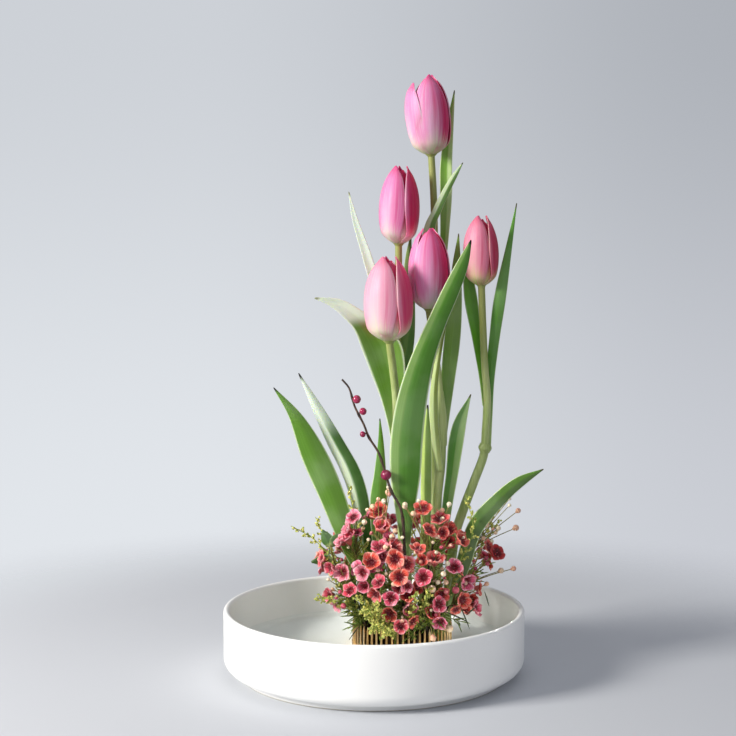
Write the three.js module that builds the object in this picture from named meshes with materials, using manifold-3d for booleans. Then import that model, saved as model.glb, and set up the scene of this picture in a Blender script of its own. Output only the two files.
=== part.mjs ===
// Ikebana arrangement: five tulips with their leaves, a berried twig, waxflower sprays and
// goldenrod sprigs, held upright by a pin holder that stands in a low round bowl of water.
//
// Millimetres, +Z up. The origin is the centre of the bowl's flat underside, -Y is the front
// and +X is the right-hand side, where the pin holder stands.

import * as THREE from 'three';
import { mergeVertices } from 'three/addons/utils/BufferGeometryUtils.js';
import Module from 'manifold-3d';

const wasm = await Module();
wasm.setup();

// ---------------------------------------------------------------- driving dimensions, mm

const GAP = 0.3; // between separate pieces that touch

const BOWL = {
  radius: 110,
  height: 48.6,
  wall: 4.3,
  floor: 10, // height of the inside floor
  footRadius: 98.2,
  footHeight: 4.6,
  cornerRadius: 9,
  innerCornerRadius: 8,
  sides: 32,
};

const WATER_LEVEL = 20;

const HOLDER = {
  x: 21,
  y: 14,
  radius: 37.5,
  baseThickness: 8.4,
  pinTop: 35.8,
  pinRadius: 0.8,
  pinPoint: 3, // length of the sharpened end
  pitch: 7,
  pinField: 36, // radius that the pins fill
  stemClearance: 0.6,
};
const HOLDER_TOP = BOWL.floor + GAP + HOLDER.baseThickness;
const STAND = HOLDER_TOP + 2 * GAP; // height at which every cut end stands

const TEPAL = { thickness: 0.8, layerGap: 2.3, steps: 5, across: [3, 2], innerShare: 0.95, spread: 0.97 };
const LEAF = { thickness: 0.8, tipHalfWidth: 0.4 };
const FLORET = { radius: 7, notch: 3.8, lobe: 0.4, thickness: 0.7, dish: 1.6, depth: 5 };
const STALK = { radius: 0.45, root: 0.12 }; // root: the point that is sunk in the twig
const NEEDLE = { length: 14, radius: 0.45 };
const CLOUD_CENTRE = [24, 25, 60]; // the florets face away from this point

// ---------------------------------------------------------------- materials

const plain = (color, roughness, metalness = 0) =>
  new THREE.MeshStandardMaterial({ color, roughness, metalness });

const MATERIALS = {
  glaze: () => plain('#f1f1ee', 0.35),
  brass: () => plain('#c39a52', 0.35, 1),
  water: () => plain('#e6edf0', 0.05),
  stem: () => plain('#b5c98a', 0.5),
  tulip: () => plain('#e0709f', 0.5),
  leaf: () => plain('#5c8c36', 0.5),
  bark: () => plain('#3d2c25', 0.7),
  waxflower: () => plain('#d4506a', 0.5),
  goldenrod: () => plain('#a9b648', 0.6),
  roundLeaf: () => plain('#2f5a2c', 0.5),
};

// ---------------------------------------------------------------- small tools

const vec = ([x, y, z]) => new THREE.Vector3(x, y, z);
const route = (points) => new THREE.CatmullRomCurve3(points.map(vec), false, 'centripetal');

/** Repeatable random numbers in 0..1 (mulberry32). */
function seeded(seed) {
  let state = seed >>> 0;
  return () => {
    state = (state + 0x6d2b79f5) >>> 0;
    let t = state;
    t = Math.imul(t ^ (t >>> 15), t | 1);
    t ^= t + Math.imul(t ^ (t >>> 7), t | 61);
    return ((t ^ (t >>> 14)) >>> 0) / 4294967296;
  };
}

/** Smooth value at u in 0..1 through evenly spaced values (Catmull-Rom). */
function along(values, u) {
  const last = values.length - 1;
  const x = Math.min(Math.max(u, 0), 1) * last;
  const i = Math.min(Math.floor(x), last - 1);
  const f = x - i;
  const p1 = values[i];
  const p2 = values[i + 1];
  const p0 = values[Math.max(i - 1, 0)];
  const p3 = values[Math.min(i + 2, last)];
  return p1 + 0.5 * f * (p2 - p0 + f * (2 * p0 - 5 * p1 + 4 * p2 - p3 + f * (3 * (p1 - p2) + p3 - p0)));
}

/** Two unit vectors that complete a right-handed set with the given axis. */
function sideVectors(axis) {
  const guide = Math.abs(axis.z) > 0.9 ? new THREE.Vector3(0, 1, 0) : new THREE.Vector3(0, 0, 1);
  const e1 = new THREE.Vector3().crossVectors(guide, axis).normalize();
  return [e1, new THREE.Vector3().crossVectors(axis, e1)];
}

function geometryFrom(positions, index) {
  const geometry = new THREE.BufferGeometry();
  geometry.setAttribute('position', new THREE.Float32BufferAttribute(positions, 3));
  geometry.setIndex(index);
  return geometry;
}

/** Closed solid for manifold-3d, with shared vertices merged. */
function solid(geometry) {
  geometry.deleteAttribute('normal');
  geometry.deleteAttribute('uv');
  const merged = mergeVertices(geometry, 1e-4);
  return new wasm.Manifold(new wasm.Mesh({
    numProp: 3,
    vertProperties: new Float32Array(merged.attributes.position.array),
    triVerts: new Uint32Array(merged.index.array),
  }));
}

/** Grown pieces joined into one closed body. */
const fuse = (geometries) => wasm.Manifold.union(geometries.map(solid));

function geometryOf(manifold) {
  const { vertProperties, triVerts } = manifold.getMesh();
  return geometryFrom(Array.from(vertProperties), Array.from(triVerts));
}

const arrangement = new THREE.Group();

function addNode(name, shape, material) {
  const geometry = shape instanceof THREE.BufferGeometry ? shape : geometryOf(shape);
  const mesh = new THREE.Mesh(geometry, MATERIALS[material]());
  mesh.name = name;
  arrangement.add(mesh);
}

// ---------------------------------------------------------------- space already taken

// Each entry is a rounded rod { a, b, radius, owner }. Small growth keeps clear of the rods of
// other pieces.
const taken = [];

function reserve(owner, a, b, radius) {
  taken.push({ owner, a: a.clone(), b: b.clone(), radius });
}

function rodDistance(p1, q1, p2, q2) {
  const d1 = q1.clone().sub(p1);
  const d2 = q2.clone().sub(p2);
  const r = p1.clone().sub(p2);
  const a = d1.dot(d1) || 1e-9;
  const e = d2.dot(d2) || 1e-9;
  const f = d2.dot(r);
  const c = d1.dot(r);
  const b = d1.dot(d2);
  const clamp = (x) => Math.min(Math.max(x, 0), 1);
  const denominator = a * e - b * b;
  let s = denominator > 1e-9 ? clamp((b * f - c * e) / denominator) : 0;
  let t = (b * s + f) / e;
  if (t < 0 || t > 1) {
    t = clamp(t);
    s = clamp((b * t - c) / a);
  }
  return p1.clone().addScaledVector(d1, s).distanceTo(p2.clone().addScaledVector(d2, t));
}

const isClear = (owner, a, b, radius) => taken.every((rod) =>
  rod.owner === owner || rodDistance(a, b, rod.a, rod.b) > rod.radius + radius + GAP);

// ---------------------------------------------------------------- shapes

/** Thin closed shell over a grid; at(u, s) gives its middle point and unit normal. */
function shellGeometry(steps, across, thickness, at) {
  const positions = [];
  for (const side of [0.5, -0.5]) {
    for (let i = 0; i <= steps; i++) {
      for (let j = 0; j <= across; j++) {
        const { point, normal } = at(i / steps, (2 * j) / across - 1);
        point.addScaledVector(normal, side * thickness);
        positions.push(point.x, point.y, point.z);
      }
    }
  }
  const row = across + 1;
  const under = row * (steps + 1);
  const index = [];
  for (let i = 0; i < steps; i++) {
    for (let j = 0; j < across; j++) {
      const a = i * row + j;
      const [b, c, d] = [a + 1, a + row + 1, a + row];
      index.push(a, b, c, a, c, d);
      index.push(under + a, under + c, under + b, under + a, under + d, under + c);
    }
  }
  const rim = [];
  for (let j = 0; j < across; j++) rim.push(j);
  for (let i = 0; i < steps; i++) rim.push(i * row + across);
  for (let j = across; j > 0; j--) rim.push(steps * row + j);
  for (let i = steps; i > 0; i--) rim.push(i * row);
  rim.forEach((p, k) => {
    const q = rim[(k + 1) % rim.length];
    index.push(q, p, under + p, q, under + p, under + q);
  });
  return geometryFrom(positions, index);
}

/** Closed tube through rings of { centre, radius, e1, e2 }. */
function ringTube(rings, sides) {
  const positions = [];
  const index = [];
  for (const { centre, radius, e1, e2 } of rings) {
    for (let k = 0; k < sides; k++) {
      const turn = (2 * Math.PI * k) / sides;
      const point = centre.clone().addScaledVector(e1, radius * Math.cos(turn))
        .addScaledVector(e2, radius * Math.sin(turn));
      positions.push(point.x, point.y, point.z);
    }
  }
  const last = (rings.length - 1) * sides;
  for (let a = 0; a < last; a++) {
    const b = a % sides === sides - 1 ? a + 1 - sides : a + 1;
    index.push(a, b, b + sides, a, b + sides, a + sides);
  }
  for (let k = 1; k < sides - 1; k++) {
    index.push(0, k + 1, k);
    index.push(last, last + k, last + k + 1);
  }
  return geometryFrom(positions, index);
}

/** Closed tube along a curve whose radius changes on the way. */
function taperedTube(owner, curve, radii, steps, sides) {
  const frames = curve.computeFrenetFrames(steps, false);
  const rings = [];
  for (let i = 0; i <= steps; i++) {
    const centre = curve.getPointAt(i / steps);
    const radius = along(radii, i / steps);
    rings.push({ centre, radius, e1: frames.normals[i], e2: frames.binormals[i] });
    if (i > 0) reserve(owner, rings[i - 1].centre, centre, radius);
  }
  return ringTube(rings, sides);
}

/** Straight tube from one point towards another, with [distance, radius] stations. */
function straightTube(owner, from, to, stations, sides) {
  const way = to.clone().sub(from).normalize();
  const [e1, e2] = sideVectors(way);
  const rings = stations.map(([distance, radius]) =>
    ({ centre: from.clone().addScaledVector(way, distance), radius, e1, e2 }));
  for (let i = 1; i < rings.length; i++) {
    reserve(owner, rings[i - 1].centre, rings[i].centre, Math.max(rings[i - 1].radius, rings[i].radius));
  }
  return ringTube(rings, sides);
}

/**
 * Leaf blade between two edge curves. channel lifts its middle towards the blade's face by that
 * share of its width; a negative channel hollows it.
 */
function bladeGeometry(owner, { left, right, channel = 0, steps = 8, across = 2 }) {
  const leftEdge = route(left);
  const rightEdge = route(right);
  const station = (u) => {
    const a = leftEdge.getPoint(u);
    const b = rightEdge.getPoint(u);
    const ahead = Math.min(u + 0.01, 1);
    const behind = Math.max(u - 0.01, 0);
    const grow = leftEdge.getPoint(ahead).add(rightEdge.getPoint(ahead))
      .sub(leftEdge.getPoint(behind)).sub(rightEdge.getPoint(behind)).normalize();
    const span = b.clone().sub(a);
    const half = Math.max(span.length() / 2, LEAF.tipHalfWidth);
    const spread = u < 0.98 ? span.normalize() : station(0.97).spread;
    const normal = new THREE.Vector3().crossVectors(spread, grow).normalize();
    return { middle: a.add(b).multiplyScalar(0.5), spread, half, normal };
  };
  for (let i = 0; i < 48; i++) {
    const { middle, spread, half, normal } = station((i + 0.5) / 48);
    middle.addScaledVector(normal, channel * half);
    reserve(owner, middle.clone().addScaledVector(spread, -half),
      middle.clone().addScaledVector(spread, half), 2);
  }
  return shellGeometry(steps, across, LEAF.thickness, (u, s) => {
    const { middle, spread, half, normal } = station(u);
    const point = middle.addScaledVector(spread, s * half)
      .addScaledVector(normal, channel * 2 * half * (1 - s * s));
    return { point, normal };
  });
}

// ---------------------------------------------------------------- bowl, water, pin holder

function arc(centreX, centreZ, radius, from, to, steps) {
  const points = [];
  for (let i = 0; i <= steps; i++) {
    const angle = THREE.MathUtils.degToRad(from + ((to - from) * i) / steps);
    points.push([centreX + radius * Math.cos(angle), centreZ + radius * Math.sin(angle)]);
  }
  return points;
}

/** Solid of revolution about +Z from [radius, height] points. */
function turned(profile, sides) {
  const points = profile.map(([r, z]) => new THREE.Vector2(r, z));
  return new THREE.LatheGeometry(points, sides).rotateX(Math.PI / 2);
}

function makeBowl() {
  const { radius, height, wall, floor, footRadius, footHeight, cornerRadius, innerCornerRadius } = BOWL;
  const rim = wall / 2;
  return turned([
    [0, 0],
    [footRadius, 0],
    [footRadius, footHeight],
    ...arc(radius - cornerRadius, footHeight + cornerRadius, cornerRadius, -90, 0, 3),
    ...arc(radius - rim, height - rim, rim, 0, 180, 4),
    ...arc(radius - wall - innerCornerRadius, floor + innerCornerRadius, innerCornerRadius, 0, -90, 3),
    [0, floor],
  ], BOWL.sides);
}

function makeWater() {
  const { radius, wall, floor, innerCornerRadius } = BOWL;
  const body = solid(turned([
    [0, floor + GAP],
    ...arc(radius - wall - innerCornerRadius - GAP, floor + innerCornerRadius + GAP,
      innerCornerRadius, -90, 0, 3),
    [radius - wall - GAP, WATER_LEVEL],
    [0, WATER_LEVEL],
  ], BOWL.sides));
  const hole = new THREE.CylinderGeometry(HOLDER.radius + 1, HOLDER.radius + 1, 60, 24)
    .rotateX(Math.PI / 2).translate(HOLDER.x, HOLDER.y, floor);
  return body.subtract(solid(hole));
}

/** Round heavy base with rows of upright pins, left out where something stands. */
function makeHolder(standing) {
  const { x, y, radius, baseThickness, pinTop, pinRadius, pinPoint, pitch, pinField } = HOLDER;
  const bottom = BOWL.floor + GAP;
  const pieces = [
    turned([
      [0, bottom],
      [radius - 1, bottom],
      [radius, bottom + 1],
      [radius, HOLDER_TOP - 1],
      [radius - 1, HOLDER_TOP],
      [0, HOLDER_TOP],
    ], 24).translate(x, y, 0),
  ];
  const pin = turned([
    [0, bottom + baseThickness / 2],
    [pinRadius, bottom + baseThickness / 2],
    [pinRadius, pinTop - pinPoint],
    [0, pinTop],
  ], 3);
  const rowHeight = (pitch * Math.sqrt(3)) / 2;
  const rows = Math.floor(pinField / rowHeight);
  for (let row = -rows; row <= rows; row++) {
    for (let column = -7; column <= 7; column++) {
      const px = (column + (row % 2 === 0 ? 0 : 0.5)) * pitch;
      const py = row * rowHeight;
      if (Math.hypot(px, py) > pinField) continue;
      const from = new THREE.Vector3(x + px, y + py, HOLDER_TOP);
      const to = from.clone().setZ(pinTop);
      if (!standing(from, to, pinRadius)) continue;
      pieces.push(pin.clone().translate(x + px, y + py, 0));
    }
  }
  return fuse(pieces);
}

// ---------------------------------------------------------------- tulips

// Shares of the bloom's radius, from its base to its tip.
const BLOOM_OUTLINE = [0.3, 0.8, 0.95, 1, 1, 0.95, 0.83, 0.62, 0.3];
const TEPAL_HALF_WIDTH = [0.3, 0.7, 0.9, 1.02, 1.06, 1, 0.84, 0.54, 0.05];
const RECEPTACLE = { share: 0.38, thickness: 1.3, sink: 0.5 };
const PISTIL = { radius: 1.5, height: 22 };

const TULIPS = [
  {
    name: 'tulip_1',
    stem: [[43, 24, STAND], [43, 24, 40], [44, 25, 123], [45, 27, 198], [45, 28, 272], [44, 27, 343], [42, 26, 377]],
    radii: [3.4, 2.9, 2.5],
    bloom: { tip: [38.5, 24, 436], radius: 15, turn: 283, opened: { tepal: 4, by: 7, swing: 32, share: 0.91 } },
    leaves: [
      {
        left: [[42.6, 30, 255], [46, 34, 285], [49, 38, 312], [49, 40, 349], [49, 40, 372], [54, 39, 404], [59, 38, 426]],
        right: [[47.4, 30, 255], [52, 33, 285], [55, 37, 312], [58, 39, 349], [58, 39, 372], [59, 38, 404], [59.6, 38, 426]],
        channel: -0.1,
      },
      {
        left: [[42.6, 26, 258], [36, 20.5, 285], [34, 18, 308], [37, 17, 327], [42.5, 16, 338], [49, 15, 351], [57, 13, 364], [64, 12, 372]],
        right: [[47.5, 26, 258], [49, 21, 285], [47, 18.5, 308], [45, 17, 326], [49.5, 16, 338], [55, 15, 351], [60.7, 13, 363], [64.5, 12, 372]],
        channel: 0.1,
      },
    ],
  },
  {
    name: 'tulip_2',
    stem: [[23, 30, STAND], [23, 30, 40], [20, 26, 123], [18, 24, 198], [17, 21, 257], [18, 19, 294], [18, 18, 312]],
    radii: [3.3, 2.9, 2.6],
    bloom: { tip: [19.5, 16, 370], radius: 14.4, turn: 225 },
    leaves: [
      {
        left: [[15, 22, 226], [8, 18, 250], [1, 14.5, 272], [-5, 13, 291], [-10, 11, 309], [-16, 9, 331], [-18.5, 8, 351]],
        right: [[19.5, 21, 226], [15, 17.5, 250], [9, 14.5, 272], [3, 13, 291], [-3, 11, 309], [-11.5, 9, 331], [-18, 8, 351]],
        channel: -0.08,
      },
      {
        left: [[17, 26, 160], [18, 24.5, 205], [19, 23.5, 242], [21, 25, 279], [23, 27, 303], [27, 28, 320]],
        right: [[22, 27, 160], [24, 26.5, 205], [30, 26, 242], [30, 26.5, 279], [28, 27.5, 303], [27.6, 28, 320]],
        channel: 0.12,
      },
    ],
  },
  {
    name: 'tulip_3',
    stem: [[25, 4, STAND], [25, 4, 40], [23, 3, 97], [19, 2, 118], [17, 0, 164], [16, -3, 201], [14, -7, 220], [11, -11.5, 243]],
    radii: [3.6, 3.3, 2.7],
    bloom: { tip: [10, -13, 305], radius: 17.2, turn: 230 },
    leaves: [
      {
        left: [[14, 1, 146], [12, 5, 172], [5, 7, 200], [-3, 8, 221], [-9.5, 8, 238], [-15, 7, 252], [-22, 5, 260], [-32, 4, 268.5], [-43, 3, 274]],
        right: [[20.6, 1, 146], [20.5, 5.5, 178], [22, 7.5, 205], [23, 9.5, 225], [19, 10.5, 243], [4, 9.5, 255], [-7, 6.5, 264], [-24, 4.5, 273.5], [-43, 3, 275]],
        channel: -0.1,
        steps: 13,
      },
    ],
  },
  {
    name: 'tulip_4',
    stem: [[46, 8, STAND], [46, 8, 40], [46, 7, 96], [46, 6, 126], [49, 5, 156], [49, 4, 186], [46, 4, 222], [42, 3.5, 251], [40, 3, 265]],
    radii: [4, 4, 3.6, 2.8, 2.7],
    bloom: { tip: [39, 3, 325], radius: 14.7, turn: 285 },
    sheath: { from: 0.6, to: 0.76, radii: [4.7, 4.2, 3.4] },
    leaves: [
      {
        left: [[45.5, 5.5, 172], [47, 8, 190], [48.5, 9, 214], [51, 9, 244], [54, 9, 273], [57, 9, 300], [61, 8, 321]],
        right: [[53, 5, 172], [55.5, 7, 190], [59, 8, 214], [63, 9, 244], [64, 9, 273], [63, 9, 300], [61.4, 8, 321]],
        channel: 0.1,
      },
      {
        left: [[45, 3, 148], [42, 0, 170], [40, -2, 192], [41, -3, 212], [46, -3.5, 238], [51.5, -4, 256]],
        right: [[50.5, 1.5, 148], [48, -1, 170], [46.5, -2.5, 192], [46.5, -3.5, 216], [49.6, -4, 241], [52, -4, 256]],
        channel: 0.12,
        steps: 7,
      },
      {
        left: [[43, 4, 70], [47.5, 1, 100], [50, -1, 128], [52, -3, 146], [54, -5, 172], [58, -6, 187], [69.5, -7, 205.5]],
        right: [[49.5, 6, 70], [54, 2.5, 100], [58, -1, 128], [61, -3.5, 146], [65, -6, 172], [67, -7, 187], [70, -7, 206]],
        channel: -0.14,
      },
    ],
  },
  {
    name: 'tulip_5',
    stem: [[54, 16, STAND], [54, 16, 36], [60, 14, 98], [66, 13, 118], [74, 12, 140], [81, 12, 160], [82, 11, 177], [83, 10, 200], [81, 9, 222], [79, 8, 258], [78, 8, 282]],
    radii: [3.7, 3.6, 3.3, 2.7, 2.6],
    bloom: { tip: [77, 6, 334], radius: 12.4, turn: 235 },
    sheath: { from: 0.545, to: 0.57, radii: [4.3, 5, 4.3] },
    leaves: [
      {
        left: [[79.5, 12, 165], [80, 13, 195], [82, 13.5, 220], [84, 12, 244], [87, 11, 273], [95, 10.5, 309], [103, 10, 343]],
        right: [[86, 11, 165], [87, 11, 190], [88, 11, 212], [92, 11, 246], [96, 10.5, 273], [100, 10.5, 309], [103.4, 10, 343]],
        channel: 0.08,
      },
      {
        left: [[79.5, 10, 195], [77, 12.5, 215], [72, 15, 243], [66, 18, 273], [66, 21, 291], [70, 22, 303]],
        right: [[83, 12, 195], [82, 13, 215], [79, 16, 243], [76, 19, 273], [72.5, 21, 291], [70.5, 22, 303]],
        channel: -0.1,
        steps: 7,
      },
    ],
  },
];

/** Stem with the leaves that clasp it, and any sheath or collar round it. */
function makeLeafyStem({ name, stem, radii, sheath, leaves }) {
  const curve = route(stem);
  const pieces = [taperedTube(name, curve, radii, 12, 6)];
  if (sheath) {
    const wrap = [0, 0.5, 1].map((f) => curve.getPointAt(sheath.from + f * (sheath.to - sheath.from)));
    pieces.push(taperedTube(name, new THREE.CatmullRomCurve3(wrap), sheath.radii, 2, 7));
  }
  pieces.push(...leaves.map((leaf) => bladeGeometry(name, leaf)));
  return fuse(pieces);
}

// A tepal that has opened leans out by so much at its tip, has swung round by so many degrees, and
// reaches that share of the bloom's height.
const CLOSED = { by: 0, swing: 0, share: 1 };

/** Closed bloom: three outer and three inner tepals round a pistil, on a small receptacle. */
function makeBloom({ name, stem, bloom }) {
  const foot = vec(stem.at(-1));
  const tip = vec(bloom.tip);
  const axis = tip.clone().sub(foot).normalize();
  const base = foot.addScaledVector(axis, 3 * GAP);
  const height = tip.distanceTo(base);
  const [e1, e2] = sideVectors(axis);

  const tepal = (k) => {
    const inner = k % 2;
    const { by, swing, share } = bloom.opened?.tepal === k ? bloom.opened : CLOSED;
    const layer = inner || (by > 0 ? 0.5 : 0);
    const turn = THREE.MathUtils.degToRad(bloom.turn + 60 * k + swing);
    const rise = height * (inner ? TEPAL.innerShare : share) - RECEPTACLE.sink;
    const reach = (u) => Math.max(bloom.radius * along(BLOOM_OUTLINE, u) - layer * TEPAL.layerGap, 2.6)
      - TEPAL.thickness / 2 + by * u * u;
    const sunk = base.clone().addScaledVector(axis, RECEPTACLE.sink);
    return shellGeometry(TEPAL.steps, TEPAL.across[inner], TEPAL.thickness, (u, s) => {
      const halfWidth = bloom.radius * Math.max(along(TEPAL_HALF_WIDTH, u), 0.04);
      const angle = turn + s * Math.min(TEPAL.spread, halfWidth / Math.max(reach(u), 0.45 * bloom.radius));
      const out = e1.clone().multiplyScalar(Math.cos(angle)).addScaledVector(e2, Math.sin(angle));
      const slope = (reach(Math.min(u + 0.02, 1)) - reach(Math.max(u - 0.02, 0))) / (0.04 * rise);
      const normal = out.clone().addScaledVector(axis, -slope).normalize();
      const point = sunk.clone().addScaledVector(axis, u * rise).addScaledVector(out, reach(u));
      return { point, normal };
    });
  };

  for (let i = 0; i < 8; i++) {
    reserve(name, base.clone().addScaledVector(axis, (i * height) / 8),
      base.clone().addScaledVector(axis, ((i + 1) * height) / 8),
      bloom.radius * along(BLOOM_OUTLINE, (i + 0.5) / 8) + 1);
  }
  const upright = new THREE.Quaternion().setFromUnitVectors(new THREE.Vector3(0, 0, 1), axis);
  const core = turned([
    [0, 0],
    [RECEPTACLE.share * bloom.radius, 0],
    [RECEPTACLE.share * bloom.radius, RECEPTACLE.thickness],
    [PISTIL.radius, RECEPTACLE.thickness],
    [PISTIL.radius, PISTIL.height],
    [0, PISTIL.height + 1],
  ], 6).applyQuaternion(upright).translate(base.x, base.y, base.z);
  return fuse([core, ...[0, 1, 2, 3, 4, 5].map(tepal)]);
}

// ---------------------------------------------------------------- leaves that stand by themselves

const LEAVES = {
  leaf_front: {
    left: [[20.5, -8, STAND], [20, -11, 60], [19, -13, 100], [15.5, -14.5, 120], [11.5, -16, 148], [11.5, -17.5, 174], [16, -19, 203], [25, -19, 231], [38, -18.5, 260], [50, -17.5, 285], [61, -16.5, 305], [68.5, -16, 317]],
    right: [[25.5, -8, STAND], [25.5, -11, 60], [26.5, -13, 100], [29, -14.5, 120], [33.5, -15.5, 148], [35, -17, 174], [38, -18, 203], [43, -18.5, 231], [51, -18, 256], [60.5, -17.5, 279], [67, -16.5, 299], [69, -16, 316]],
    channel: 0.1,
    steps: 13,
    across: 3,
  },
  leaf_far_left: {
    left: [[1, 16, STAND], [-12, 11, 65], [-25, 13, 91], [-40, 15, 125], [-54, 16, 157], [-63, 16, 187], [-74, 16, 208]],
    right: [[7, 16, STAND], [-3, 12, 65], [-11, 13, 91], [-20, 15, 125], [-33, 16, 157], [-52, 16, 187], [-73.6, 16, 208.5]],
    channel: 0.08,
    across: 3,
  },
  leaf_left: {
    left: [[5, 27, STAND], [-6, 24, 64], [-13, 22, 94], [-18, 20, 126], [-25, 20, 146], [-34, 22, 164], [-44, 23, 187], [-56, 24, 218]],
    right: [[11, 27, STAND], [2, 25, 64], [-1, 22, 94], [-4, 20, 126], [-10, 21, 146], [-20, 23, 164], [-36, 24, 190], [-55.6, 24, 218.4]],
    channel: 0.16,
    steps: 10,
  },
  leaf_slim: {
    left: [[8, 4, STAND], [0, 6, 82], [-3, 7, 126], [0, 8, 146], [3, 9, 170], [4, 10, 186]],
    right: [[13, 4, STAND], [8, 6, 82], [10, 7, 126], [9, 8, 146], [7, 9, 170], [4.6, 10, 186]],
    channel: 0.12,
  },
  leaf_short: {
    left: [[32, -4, STAND], [33, -3, 70], [34, -1, 110], [34, 0, 142], [35, 1, 171], [38.5, 2, 197]],
    right: [[38, -4, STAND], [40, -3, 70], [41.5, -2, 110], [42, -1, 142], [41.5, 0, 171], [39.5, 2, 197]],
    channel: 0.12,
  },
  leaf_low_right: {
    left: [[46, -1, STAND], [53, -2, 53], [60, -5, 84], [69, -10, 114], [86, -14, 134], [102, -18, 147], [121, -20, 153.5]],
    right: [[52, 1, STAND], [60, 0, 53], [70, -4, 78], [78, -10, 105], [98, -14, 131], [110, -18, 143], [121.4, -20, 153]],
    channel: 0.06,
    across: 3,
  },
};

// ---------------------------------------------------------------- stalks, buds, berries, needles

/** The curve's point nearest to a place, moved down the curve by the given share. */
function nearestOn(curve, place, drop) {
  const distanceAt = (i) => curve.getPointAt(i / 40).distanceTo(place);
  let best = 0;
  for (let i = 1; i <= 40; i++) {
    if (distanceAt(i) < distanceAt(best)) best = i;
  }
  return curve.getPointAt(Math.max(best / 40 - drop, 0.25));
}

/** Round bud or berry on the end of its stalk. */
function budOnStalk(owner, from, centre, radius, sides = 4) {
  const reach = from.distanceTo(centre);
  const stations = [[0, STALK.root], [reach - 0.9 * radius, STALK.radius], [reach - 0.2 * radius, radius],
    [reach + 0.4 * radius, 0.85 * radius], [reach + radius, 0.3]];
  if (sides === 4) stations.splice(3, 1);
  return straightTube(owner, from, centre, stations, sides);
}

/** Slim three-sided needle leaf. */
const needle = (owner, from, to) =>
  straightTube(owner, from, to, [[0, STALK.root], [from.distanceTo(to), NEEDLE.radius]], 3);

/** Open five-petalled floret whose cup narrows into its stalk; it faces away from the stalk. */
function floretOnStalk(owner, from, centre, facing, turn) {
  const { radius, notch, lobe, thickness, dish, depth } = FLORET;
  const [e1, e2] = sideVectors(facing);
  const at = (angle, r, h) => centre.clone().addScaledVector(e1, r * Math.cos(angle))
    .addScaledVector(e2, r * Math.sin(angle)).addScaledVector(facing, h);
  const outline = [];
  for (let k = 0; k < 5; k++) {
    const middle = turn + (k * 2 * Math.PI) / 5;
    outline.push([middle - Math.PI / 5, notch, 0], [middle - lobe, radius, 1], [middle + lobe, radius, 1]);
    const tip = at(middle, 5, 0.8);
    reserve(owner, tip, tip, 2.2);
  }
  const count = outline.length;
  const cupFoot = at(0, 0, -depth);
  reserve(owner, centre, cupFoot, 2.6);
  reserve(owner, cupFoot, from, STALK.radius);
  const way = cupFoot.clone().sub(from).normalize();
  const [w1, w2] = sideVectors(way);
  const points = [
    ...outline.map(([a, r, h]) => at(a, r, h)),
    ...outline.map(([a, r, h]) => at(a, r, h - thickness)),
    at(0, 0, -dish),
  ];
  const ring = (middle, first, second, i, size) => middle.clone()
    .addScaledVector(first, size * Math.cos(i)).addScaledVector(second, size * Math.sin(i));
  for (let k = 0; k < 3; k++) {
    points.push(ring(cupFoot, e1, e2, turn + 0.4 + (k * 2 * Math.PI) / 3, STALK.radius));
  }
  // The stalk's lower ring starts where its corners line up best with the cup's foot.
  const corner = points[2 * count + 1].clone().sub(cupFoot);
  const start = Math.atan2(corner.dot(w2), corner.dot(w1));
  for (let k = 0; k < 3; k++) points.push(ring(from, w1, w2, start + (k * 2 * Math.PI) / 3, STALK.root));
  const index = [];
  const centreTop = 2 * count;
  for (let k = 0; k < count; k++) {
    const next = (k + 1) % count;
    index.push(centreTop, k, next);
    index.push(k, count + k, count + next, k, count + next, next);
    const foot = centreTop + 1 + Math.floor(k / 5);
    index.push(count + k, foot, count + next);
    if (k % 5 === 4) index.push(foot, centreTop + 1 + ((Math.floor(k / 5) + 1) % 3), count + next);
  }
  for (let k = 0; k < 3; k++) {
    const a = centreTop + 1 + k;
    const b = centreTop + 1 + ((k + 1) % 3);
    index.push(a, a + 3, b + 3, a, b + 3, b);
  }
  index.push(centreTop + 4, centreTop + 6, centreTop + 5);
  return geometryFrom(points.flatMap((p) => p.toArray()), index);
}

// ---------------------------------------------------------------- berried twig

const BERRY_TWIG = {
  route: [[19, -15, STAND], [19, -16, 34], [21, -21, 60], [21.5, -22, 102], [19, -22.5, 125], [12, -21, 138], [7, -18, 154], [3, -17, 165], [-4, -16, 176], [-7, -16, 184], [-14, -15, 198], [-18, -14, 211], [-23, -14, 217]],
  radii: [1.3, 1.1, 0.9, 0.7],
  // [x, y, z, radius] of each berry
  berries: [[-12.5, -17, 203, 3.1], [-8, -18.5, 194.5, 2.7], [-8, -18, 178, 2.2], [8.5, -21.5, 149, 4]],
};

function makeBerryTwig() {
  const name = 'berry_twig';
  const curve = route(BERRY_TWIG.route);
  const berries = BERRY_TWIG.berries.map(([x, y, z, radius]) => {
    const centre = new THREE.Vector3(x, y, z);
    reserve(name, centre, centre, radius);
    return budOnStalk(name, nearestOn(curve, centre, 0.005), centre, radius, 6);
  });
  return fuse([taperedTube(name, curve, BERRY_TWIG.radii, 13, 4), ...berries]);
}

// ---------------------------------------------------------------- waxflower sprays

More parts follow.
